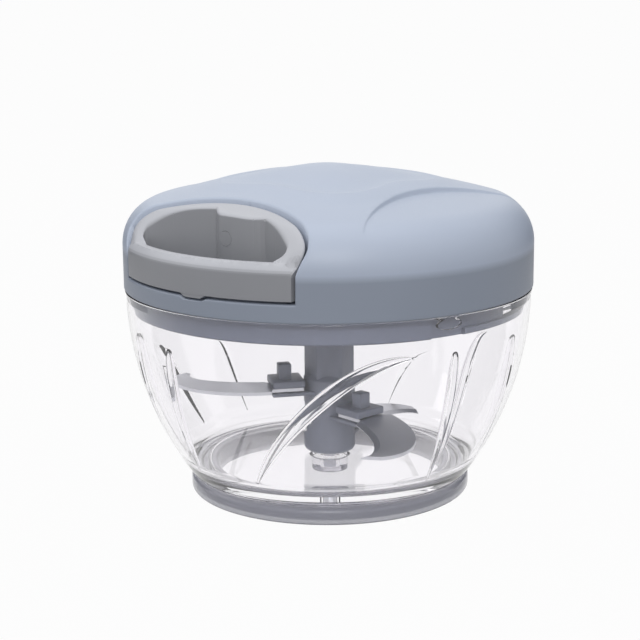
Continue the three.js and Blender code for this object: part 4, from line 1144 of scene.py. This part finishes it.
def blade_shaft():
    body = lathe("blade_shaft", rounded(SHAFT_PROFILE, 6, closed=False), 96)
    outline = [around(HEX_RADIUS, HEX_TURN + 60 * i) for i in range(6)]
    parts = [bevelled(prism("column", outline, *HEX), 0.5, 3)]
    for degrees, height, _ in BLADES:
        top = height - 0.7
        arm = bevelled(bar("arm", 4.0, ARM_END, ARM_WIDTH, top - 1.2, top), 0.4)
        hole = post("hole", RIVET_HOLE, top - 4, top + 2, RIVET_PLACE)
        parts.append(spun(cut(arm, hole), degrees))
    parts += [bar("dog", *DOG, turn) for turn in (0, 120, 240)]
    for part in parts:
        join(body, part)
    return body


def blade_sections(reach, steps=22):
    """Middle, direction across, half width and bevel share from the clip to the tip"""
    sections = [((0, place), (1, 0), 4.5, 0.0) for place in (-9.0, -18.9)]
    for along in np.linspace(0, 1, steps + 1):
        share = np.interp(along * (len(BLADE_SHARES) - 1), range(len(BLADE_SHARES)), BLADE_SHARES)
        radius = BLADE_START + (reach - BLADE_START) * math.sin(along * QUARTER)
        turn = -BLADE_TURN * along**1.3
        across = around(1, turn + 90 - BLADE_TURN * along)
        sections.append((around(radius, turn), across, share * BLADE_HALF, 1.0))
    return sections


def blade_shape(sizes, degrees, height, droop):
    reach = wall_radius(height - droop, BOWL_WALL) - 6.2
    thickness = sizes["blade_thickness"]
    rings = []
    for centre, across, half, ground in blade_sections(reach):
        share = max(0.0, (math.hypot(*centre) - BLADE_START + 0.2) / (reach - ARM_END))
        low = height - 0.5 - droop * share
        edge = low + (thickness * 0.25 if ground else thickness)
        inner = -half + (sizes["blade_bevel"] if ground else half / 2)
        spots = [(-half, low), (half, low), (half, low + thickness), (inner, low + thickness), (-half, edge)]
        rings.append([(centre[0] + across[0] * s, centre[1] + across[1] * s, z) for s, z in spots])
    hole = post("hole", RIVET_HOLE, height - 2, height + 2, RIVET_PLACE)
    return spun(cut(loft("blade", rings), hole), degrees)


def clip_shape(degrees, height):
    low = height + 0.7
    slab = bevelled(bar("clip", 8.6, ARM_END, ARM_WIDTH, low, low + 2.3), 0.5, 3)
    peg = bevelled(bar("peg", RIVET_PLACE - 2, RIVET_PLACE + 2, 4, low + 0.6, low + 6.9), 0.4)
    rivet = post("rivet", 1.2, height - 1.9, low + 1, RIVET_PLACE, segments=24)
    return spun(join(slab, peg, rivet), degrees)


# Screws and cord


def screw_tree():
    """Sets one screw on every point"""
    tree = Shape("Set screws", Screw="NodeSocketObject")
    screw = tree.node("GeometryNodeObjectInfo", {"Object": tree.inputs["Screw"]}).outputs["Geometry"]
    links = {"Points": tree.inputs["Geometry"], "Instance": screw}
    return tree.finish(tree.step("GeometryNodeInstanceOnPoints", links))


def screw_shape(sizes, low=64.2, top=65.5, tip=77.5):
    """Countersunk screw that points up, with a crossed slot in its head"""
    profile = [(0, low), (2.9, low, 0.4), (2.9, top, 0.2), (1.2, top), (1.2, tip - 0.8), (0.5, tip), (0, tip)]
    body = lathe("screw", rounded(profile, closed=False), 32)
    for turn in (0, 90):
        cut(body, bar("slot", -1.5, 1.5, sizes["screw_socket"], low - 1, low + 0.8, turn))
    return body


def lid_screws(sizes):
    screw = screw_shape(sizes)
    spots = shape_object("spots", [(*around(BOSS_PLACE, degrees), 0) for degrees in BOSS_ANGLES], [])
    screws = grown(spots, screw_tree(), "steel", Screw=screw)
    removed(screw)
    return screws


def strand_tube(name, path, radius=CORD_RADIUS, sides=16, lay=3.4):
    """Round cord along a path, with its length and turn kept as a UV map for the braid"""
    path = [Vector(point) for point in path]
    points = []
    lengths = [0.0]
    for i, point in enumerate(path):
        before, after = path[max(i - 1, 0)], path[min(i + 1, len(path) - 1)]
        along = (after - before).normalized()
        across = Vector((0, 0, 1)).cross(along).normalized()
        up = along.cross(across)
        points += [point + across * x + up * y for x, y in arc((0, 0), radius, 0, 2 * math.pi, sides)[:-1]]
        if i:
            lengths.append(lengths[-1] + (point - before).length)
    faces = []
    coords = []
    for i in range(len(path) - 1):
        start, end = lengths[i] / lay, lengths[i + 1] / lay
        for side in range(sides):
            a, b = i * sides + side, i * sides + (side + 1) % sides
            near, far = side / sides, (side + 1) / sides
            faces.append([a, b, b + sides, a + sides])
            coords += [(start, near), (start, far), (end, far), (end, near)]
    last = len(points) - sides
    faces += [list(range(sides))[::-1], [last + i for i in range(sides)]]
    ends = [i / sides for i in range(sides)]
    coords += [(0, share) for share in reversed(ends)] + [(1, share) for share in ends]
    cord = shape_object(name, points, faces)
    cord.data.uv_layers.new(name="braid").data.foreach_set("uv", np.ravel(coords))
    return cord


def cord_route():
    """Where the cord leaves its winding, its turn there, and the eyelet's mouth that it runs to"""
    mouth = Vector((CORD_X, EYELET_MOUTH))
    turn = math.atan2(mouth.y, mouth.x) + math.acos(WINDING_RADIUS / mouth.length)
    return Vector((math.cos(turn), math.sin(turn))) * WINDING_RADIUS, turn, mouth


def pull_cord():
    leave, _, mouth = cord_route()
    along = (mouth - leave).normalized()
    first = leave + along * CORD_START
    last = mouth + along * CORD_BEND[0]
    bend_end = Vector((CORD_X, mouth.y - CORD_BEND[1]))
    knot = Vector((CORD_X, KNOT_HALF - KNOT_CENTRE))
    spots = [first.lerp(last, i / 16) for i in range(17)]
    for i in range(1, 9):
        share = i / 8
        spots.append(last * (1 - share) ** 2 + mouth * 2 * share * (1 - share) + bend_end * share**2)
    spots += [bend_end.lerp(knot, i / 12) for i in range(1, 13)]
    return strand_tube("pull_cord", [(*spot, CORD_HEIGHT) for spot in spots])


def cord_winding(steps=216):
    _, turn, mouth = cord_route()
    path = []
    for share in np.linspace(0, 1, steps + 1):
        angle = turn + 2 * math.pi * WINDING_TURNS * (1 - share)
        height = WINDING_LOW + (CORD_HEIGHT - WINDING_LOW) * share
        path.append((WINDING_RADIUS * math.cos(angle), WINDING_RADIUS * math.sin(angle), height))
    leave = Vector(path[-1])
    along = (Vector((*mouth, CORD_HEIGHT)) - leave).normalized()
    return strand_tube("cord_winding", [*path, leave + along * WINDING_TAIL], sides=12)


def cord_knot():
    """Overhand knot in its pocket: three short crossing turns of the cord"""
    path = []
    for turn in np.linspace(0, 2 * math.pi, 73):
        wide = 0.95 + 0.18 * math.cos(3 * turn)
        x, z = wide * math.cos(2 * turn), wide * math.sin(2 * turn)
        path.append((CORD_X + x, 0.62 * math.sin(3 * turn) - KNOT_CENTRE, CORD_HEIGHT + z))
    return strand_tube("cord_knot", path, CORD_RADIUS * 0.8, 12)


def recoil_spring(turns=6, inner=3.15, outer=14.25, half=0.25, low=75.8, high=83.4):
    rings = []
    for share in np.linspace(0, 1, turns * 64 + 1):
        radius = inner + (outer - inner) * share
        near, far = around(radius - half, 360 * turns * share), around(radius + half, 360 * turns * share)
        rings.append([(*near, low), (*near, high), (*far, high), (*far, low)])
    return loft("recoil_spring", rings)


# Materials


class Finish(Nodes):
    """Material around one Principled shader"""

    def __init__(self, name, **settings):
        self.material = bpy.data.materials.new(name)
        self.material.use_nodes = True
        super().__init__(self.material.node_tree)
        self.shader = self.tree.nodes["Principled BSDF"]
        for key, value in settings.items():
            self.shader.inputs[key.replace("_", " ")].default_value = value

    def dress(self, colour, roughness=None, normal=None):
        """Links the shader's inputs and gives the material"""
        sockets = {"Base Color": colour, "Roughness": roughness, "Normal": normal}
        for name, socket in sockets.items():
            if socket:
                self.tree.links.new(socket, self.shader.inputs[name])
        return self.material

    def place(self, scale=(1, 1, 1)):
        """Object coordinates, stretched"""
        links = {"Vector": self.node("ShaderNodeTexCoord").outputs["Object"]}
        return self.node("ShaderNodeMapping", links, {"Scale": scale}).outputs[0]

    def noise(self, scale, detail=2.0, stretch=(1, 1, 1)):
        values = {"Scale": scale, "Detail": detail}
        return self.node("ShaderNodeTexNoise", {"Vector": self.place(stretch)}, values).outputs["Fac"]

    def ramp(self, factor, low, high, start=0.3, end=0.7):
        values = {"From Min": start, "From Max": end, "To Min": low, "To Max": high}
        return self.node("ShaderNodeMapRange", {"Value": factor}, values).outputs[0]

    def tone(self, factor, colour, spread):
        """Colour that drifts a little lighter and darker"""
        ends = [(*(min(1, value * share) for value in colour), 1) for share in (1 - spread, 1 + spread)]
        values = dict(zip("AB", ends))
        return self.node("ShaderNodeMix", {"Factor": factor}, values, data_type="RGBA").outputs["Result"]

    def bump(self, height, strength, distance, normal=None):
        links = {"Height": height, "Normal": normal} if normal else {"Height": height}
        values = {"Strength": strength, "Distance": distance * MM}
        return self.node("ShaderNodeBump", links, values).outputs["Normal"]


def wall_painted_shade(finish):
    """Painted shade: darkens the lid's upright wall below its shoulder, where less light falls"""
    height = finish.node("ShaderNodeSeparateXYZ", {"Vector": finish.place()}).outputs["Z"]
    return finish.ramp(height, PAINTED_WALL_SHADE, 1.0, WALL_DARK * MM, WALL_LIGHT * MM)


def slope_painted_shade(finish):
    """Painted shade: darkens the handle's steep faces, which its operator marks"""
    flat = finish.node("ShaderNodeAttribute", attribute_name="flat").outputs["Fac"]
    return finish.ramp(flat, PAINTED_GRIP_SHADE, 1.0, 0.0, 1.0)


def moulded_plastic(name, colour, roughness, grain, level=None):
    """Satin moulded plastic: faint clouding, a fine grain and, where asked, painted shade on some faces"""
    finish = Finish(name, Roughness=roughness, IOR=1.5, Specular_IOR_Level=0.45)
    cloud = finish.noise(38, 3)
    grains = finish.noise(2600)
    shade = finish.tone(cloud, colour, 0.03)
    # Painted shade, for the finishes that ask for it
    if level:
        links = {0: shade, "Scale": level(finish)}
        shade = finish.node("ShaderNodeVectorMath", links, operation="SCALE").outputs[0]
    swirl = finish.bump(cloud, 0.25, 0.06)
    rough = finish.ramp(grains, roughness - 0.05, roughness + 0.07)
    return finish.dress(shade, rough, finish.bump(grains, grain, 0.012, swirl))


def clear_plastic(name, colour):
    """Clear styrene: nearly colourless, with faint flow lines"""
    finish = Finish(name, Roughness=0.02, IOR=1.42, Transmission_Weight=1.0)
    flow = finish.noise(70, 2, (1, 1, 0.35))
    return finish.dress(finish.tone(flow, colour, 0.012), normal=finish.bump(flow, 0.12, 0.08))


def soft_plastic(name, colour):
    """Cloudy elastomer that lets some light through"""
    finish = Finish(name, Roughness=0.2, IOR=1.42, Transmission_Weight=0.5)
    cloud = finish.noise(120, 3)
    shade = finish.tone(cloud, colour, 0.03)
    return finish.dress(shade, finish.ramp(cloud, 0.16, 0.26), finish.bump(cloud, 0.15, 0.05))


def brushed_steel(name, colour, roughness, stretch=(1, 18, 1)):
    """Ground steel with fine lines"""
    finish = Finish(name, Metallic=1.0, Roughness=roughness, Anisotropic=0.35)
    lines = finish.noise(900, 3, stretch)
    shade = finish.tone(finish.noise(60), colour, 0.05)
    rough = finish.ramp(lines, roughness - 0.07, roughness + 0.1)
    return finish.dress(shade, rough, finish.bump(lines, 0.2, 0.01))


def braided_cord(name, colour):
    """Braid of fine yarns that follows the cord"""
    finish = Finish(name, Roughness=0.85, Sheen_Weight=0.25)
    coordinates = finish.node("ShaderNodeUVMap", uv_map="braid").outputs[0]
    yarns = []
    for lean in (45, -45):
        values = {"Scale": (4, 6, 1), "Rotation": (0, 0, math.radians(lean))}
        place = finish.node("ShaderNodeMapping", {"Vector": coordinates}, values)
        wave = finish.node("ShaderNodeTexWave", {"Vector": place.outputs[0]}, {"Scale": 1.0})
        yarns.append(wave.outputs["Fac"])
    crossed = finish.maths("MAXIMUM", *yarns)
    return finish.dress(finish.tone(crossed, colour, 0.12), normal=finish.bump(crossed, 0.6, 0.12))


FINISHES = {
    # The lid's and the handle's finishes paint shade: on the lid's upright wall and on the handle's steep
    # faces
    "lid": ("lid_plastic", moulded_plastic, 0.42, 0.3, wall_painted_shade),
    "skirt": ("skirt_plastic", moulded_plastic, 0.42, 0.3),
    "handle": ("handle_plastic", moulded_plastic, 0.4, 0.25, slope_painted_shade),
    "rotor": ("rotor_plastic", moulded_plastic, 0.4, 0.3),
    "inner": ("inner_plastic", moulded_plastic, 0.45, 0.2),
    "steel": ("ground_steel", brushed_steel, 0.36),
    "spring": ("spring_steel", brushed_steel, 0.3, (1, 1, 14)),
    "cord": ("braided_cord", braided_cord),
    "bowl": ("clear_bowl", clear_plastic),
    "ring": ("soft_ring", soft_plastic),
}


def material_of(finish):
    """One of the chopper's finishes, made once"""
    name, maker, *values = FINISHES[finish]
    tint = tuple(getattr(bpy.context.scene.chopper_colours, finish))
    return bpy.data.materials.get(name) or maker(name, tint, *values)


# Stage


FLOOR_REACH = 9
FLOOR_SHARE = 0.97
SKY = (0.86, 0.92, 1.0, 1)
SKY_STRENGTH = 0.42
CARDS = {"left_card": (-0.5, 0.04), "right_card": (0.05, 0.5)}
CARD_WIDTH = 0.34
CARD_HEIGHT = 0.32
CARD_SHADE = (0.02, 0.02, 0.03)
LAMP_AIM = Vector((0, 0, 0.06))
# Each lamp's place, size and power
LAMPS = (
    ("top_softbox", (-0.1, -0.1, 1.1), 1.4, 5.0),
    ("front_softbox", (0.62, -0.75, 0.7), 0.6, 4.6),
    ("left_softbox", (-0.9, -0.5, 0.75), 0.7, 1.4),
    ("right_softbox", (0.9, 0.3, 0.95), 0.5, 0.6),
)
CAMERA_LENS = 91.5
CAMERA_TARGET = Vector((-2.09, -1.75, 51.75)) * MM
CAMERA_DISTANCE = 503.0 * MM
CAMERA_TURN = Euler((math.radians(-12.337), 0, math.radians(40)))
CAMERA_ROLL = math.radians(-0.5)


class CHOPPER_OT_stage(bpy.types.Operator):
    """Floor, backdrop, lamps and camera"""

    bl_idname = "chopper.stage"
    bl_label = "Stage"

    def execute(self, context):
        corners = [(-FLOOR_REACH, -FLOOR_REACH, 0), (FLOOR_REACH, -FLOOR_REACH, 0)]
        floor = shape_object("floor", [*corners, *[(-x, -y, 0) for x, y, _ in corners]], [[0, 1, 2, 3]])
        floor.data.materials.append(floor_finish(tuple(context.scene.chopper_colours.floor)))
        white_world()
        for name, place in CARDS.items():
            edge_card(name, Vector((*place, 0)))
        for lamp in LAMPS:
            softbox(*lamp)
        photo_camera(context.scene)
        context.scene.view_settings.view_transform = "Standard"
        return {"FINISHED"}


def staged(name, data, place, back, roll=0.0):
    """Lamp or camera at a place, looking away from its back"""
    obj = bpy.data.objects.new(name, data)
    bpy.context.scene.collection.objects.link(obj)
    obj.location = place
    turn = (-back).to_track_quat("-Z", "Y").to_matrix()
    obj.rotation_euler = (turn @ Matrix.Rotation(roll, 3, "Z")).to_euler()
    return obj


def softbox(name, place, size, power):
    lamp = bpy.data.lights.new(name, "AREA")
    lamp.shape = "DISK"
    lamp.size = size
    lamp.energy = power
    staged(name, lamp, place, Vector(place) - LAMP_AIM)


def photo_camera(scene):
    """Camera that sees the chopper as the photo does"""
    camera = bpy.data.cameras.new("camera")
    camera.lens = CAMERA_LENS
    camera.sensor_width = 36
    camera.clip_start = 0.01
    camera.clip_end = 20
    back = CAMERA_TURN.to_matrix() @ Vector((0, -1, 0))
    scene.camera = staged("camera", camera, CAMERA_TARGET + back * CAMERA_DISTANCE, back, CAMERA_ROLL)


def edge_card(name, place):
    """Dark card beside the view, which only clear and glossy surfaces show: it draws their edges"""
    across = Vector((-place.y, place.x, 0)).normalized() * CARD_WIDTH / 2
    up = Vector((0, 0, CARD_HEIGHT))
    corners = (place - across, place + across, place + across + up, place - across + up)
    card = shape_object(name, corners, [[0, 1, 2, 3]])
    card.data.materials.append(Finish(name, Roughness=1.0, Base_Color=(*CARD_SHADE, 1)).material)
    card.visible_camera = card.visible_diffuse = card.visible_shadow = False


def shown(tree, output, kept, lit, seen):
    """Mixes a shader that lights with one that shows directly and through glass, by the share kept"""
    tree.nodes.clear()
    nodes = Nodes(tree)
    path = nodes.node("ShaderNodeLightPath").outputs
    direct = nodes.maths("MAXIMUM", path["Is Camera Ray"], path["Is Glossy Ray"])
    direct = nodes.maths("MAXIMUM", direct, path["Is Transmission Ray"])
    shaders = [nodes.node(kind, None, values).outputs[0] for kind, values in (lit, seen)]
    links = dict(enumerate([nodes.maths("MULTIPLY", direct, kept), *shaders]))
    nodes.node(output, {0: nodes.node("ShaderNodeMixShader", links).outputs[0]})


def floor_finish(colour):
    """Pale floor that shows white and keeps a soft share of the shadow"""
    material = bpy.data.materials.new("floor_paper")
    material.use_nodes = True
    paper = ("ShaderNodeBsdfDiffuse", {"Color": (*colour, 1)})
    glow = ("ShaderNodeEmission", {"Strength": 1.0})
    shown(material.node_tree, "ShaderNodeOutputMaterial", FLOOR_SHARE, paper, glow)
    return material


def white_world():
    world = bpy.data.worlds.new("backdrop")
    bpy.context.scene.world = world
    world.use_nodes = True
    sky = ("ShaderNodeBackground", {"Color": SKY, "Strength": SKY_STRENGTH})
    white = ("ShaderNodeBackground", {"Color": (1, 1, 1, 1), "Strength": 1.0})
    shown(world.node_tree, "ShaderNodeOutputWorld", 1.0, sky, white)


# Operators of the pieces


class CHOPPER_OT_bowl(bpy.types.Operator):
    """Clear bowl with its inner ribs, and the foot ring under it"""

    bl_idname = "chopper.bowl"
    bl_label = "Bowl and foot ring"

    def execute(self, context):
        bowl, ring = bowl_shape(sizes_of(context)), foot_ring()
        finish_piece(bowl, "bowl_body", "bowl", "bowl", "bowl_clear", "bowl")
        finish_piece(ring, "foot_ring_body", "bowl", "ring", "soft_clear", "foot_ring")
        bowl.visible_shadow = ring.visible_shadow = False
        return {"FINISHED"}


class CHOPPER_OT_rotor(bpy.types.Operator):
    """Rotor's shaft, blades and blade clips"""

    bl_idname = "chopper.rotor"
    bl_label = "Rotor"

    def execute(self, context):
        sizes = sizes_of(context)
        finish_piece(blade_shaft(), "shaft_body", "rotor", "rotor", "rotor_grey", "blade_shaft", angle=30)
        for i, (degrees, height, droop) in enumerate(BLADES, 1):
            blade = blade_shape(sizes, degrees, height, droop)
            finish_piece(blade, f"steel_blade_{i}", "rotor", "steel", "blade_steel", f"blade_{i}", angle=15)
            clip = clip_shape(degrees, height)
            finish_piece(clip, f"clip_body_{i}", "rotor", "rotor", "rotor_grey", f"blade_clip_{i}", angle=30)
        return {"FINISHED"}


class CHOPPER_OT_lid(bpy.types.Operator):
    """Domed lid, its base with the bayonet skirt, the seal and the screws"""

    bl_idname = "chopper.lid"
    bl_label = "Lid"

    def execute(self, context):
        sizes = sizes_of(context)
        finish_piece(lid_shell(sizes), "lid_dome", "lid", "lid", "lid_blue", "lid_shell")
        finish_piece(lid_base(), "lid_skirt", "lid", "skirt", "skirt_blue", "lid_base")
        finish_piece(seal_ring(), "lid_seal", "seal", "ring", "soft_clear", "seal_ring")
        names = [f"lid_screw_{i}" for i in (1, 2, 3)]
        finish_piece(lid_screws(sizes), "lid_screws", "lid", "steel", "steel", *names)
        return {"FINISHED"}


class CHOPPER_OT_handle(bpy.types.Operator):
    """Finger-loop handle, its level faces marked so that its finish paints shade on the steep ones"""

    bl_idname = "chopper.handle"
    bl_label = "Handle"

    def execute(self, context):
        loop = handle_loop(sizes_of(context))
        # How level each face is, for the painted shade that the handle's finish puts on its steep faces
        upward = np.array([abs(face.normal.z) for face in loop.data.polygons])
        flat = loop.data.attributes.new("flat", "FLOAT", "FACE")
        flat.data.foreach_set("value", ease(upward, 0.1, 0.55))
        finish_piece(loop, "handle_loop", "handle", "handle", "handle_grey", "pull_handle")
        return {"FINISHED"}


class CHOPPER_OT_cord(bpy.types.Operator):
    """Cord from its winding on the spool to its knot in the handle, and the recoil spring"""

    bl_idname = "chopper.cord"
    bl_label = "Cord and spring"

    def execute(self, context):
        finish_piece(pull_cord(), "drawn_cord", ("lid", "handle"), "cord", "cord", "pull_cord", angle=180)
        finish_piece(cord_winding(), "wound_cord", "spool", "cord", "cord", "cord_winding", angle=60)
        finish_piece(cord_knot(), "knotted_cord", "handle", "cord", "cord", "cord_knot", angle=60)
        finish_piece(recoil_spring(), "flat_spring", "spool", "spring", "spring_steel", "recoil_spring")
        return {"FINISHED"}


# Nodes that keep the frame's own shape, by finish
KEPT_NODES = {
    "inner": ("drive_hub", "spool", "spring_cover"),
    "rotor": ("pawl_1", "pawl_2"),
    # The cord plug has no level mark, so the handle's finish paints shade over all of it
    "handle": ("cord_plug",),
    "steel": ("pivot_pin", "cord_eyelet", "spool_axle", "axle_washer", "axle_screw"),
}


class CHOPPER_OT_inner(bpy.types.Operator):
    """Finishes of the parts that keep the frame's own shape"""

    bl_idname = "chopper.inner"
    bl_label = "Inner parts"

    def execute(self, context):
        for finish, nodes in KEPT_NODES.items():
            for node in nodes:
                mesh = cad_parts[node].data
                mesh.materials.clear()
                mesh.materials.append(material_of(finish))
        return {"FINISHED"}


class CHOPPER_PT_pieces(bpy.types.Panel):
    """Lists the chopper's pieces in the sidebar"""

    bl_idname = "CHOPPER_PT_pieces"
    bl_label = "Food Chopper"
    bl_space_type = "VIEW_3D"
    bl_region_type = "UI"
    bl_category = "Chopper"

    def draw(self, context):
        layout = self.layout
        for operator in OPERATORS:
            layout.operator(operator.bl_idname)
        for group in (context.scene.chopper_sizes, context.scene.chopper_colours):
            box = layout.box()
            for name in names_in(group):
                box.prop(group, name)


OPERATORS = (
    CHOPPER_OT_stage,
    CHOPPER_OT_bowl,
    CHOPPER_OT_rotor,
    CHOPPER_OT_lid,
    CHOPPER_OT_handle,
    CHOPPER_OT_cord,
    CHOPPER_OT_inner,
)
CLASSES = (ChopperSizes, ChopperColours, *OPERATORS, CHOPPER_PT_pieces)


def register():
    for cls in CLASSES:
        bpy.utils.register_class(cls)
    bpy.types.Scene.chopper_sizes = bpy.props.PointerProperty(type=ChopperSizes)
    bpy.types.Scene.chopper_colours = bpy.props.PointerProperty(type=ChopperColours)


def unregister():
    del bpy.types.Scene.chopper_colours
    del bpy.types.Scene.chopper_sizes
    for cls in reversed(CLASSES):
        bpy.utils.unregister_class(cls)


def main():
    register()
    bpy.ops.chopper.stage()
    bpy.ops.chopper.bowl()
    bpy.ops.chopper.rotor()
    bpy.ops.chopper.lid()
    bpy.ops.chopper.handle()
    bpy.ops.chopper.cord()
    bpy.ops.chopper.inner()


if __name__ == "__main__":
    main()
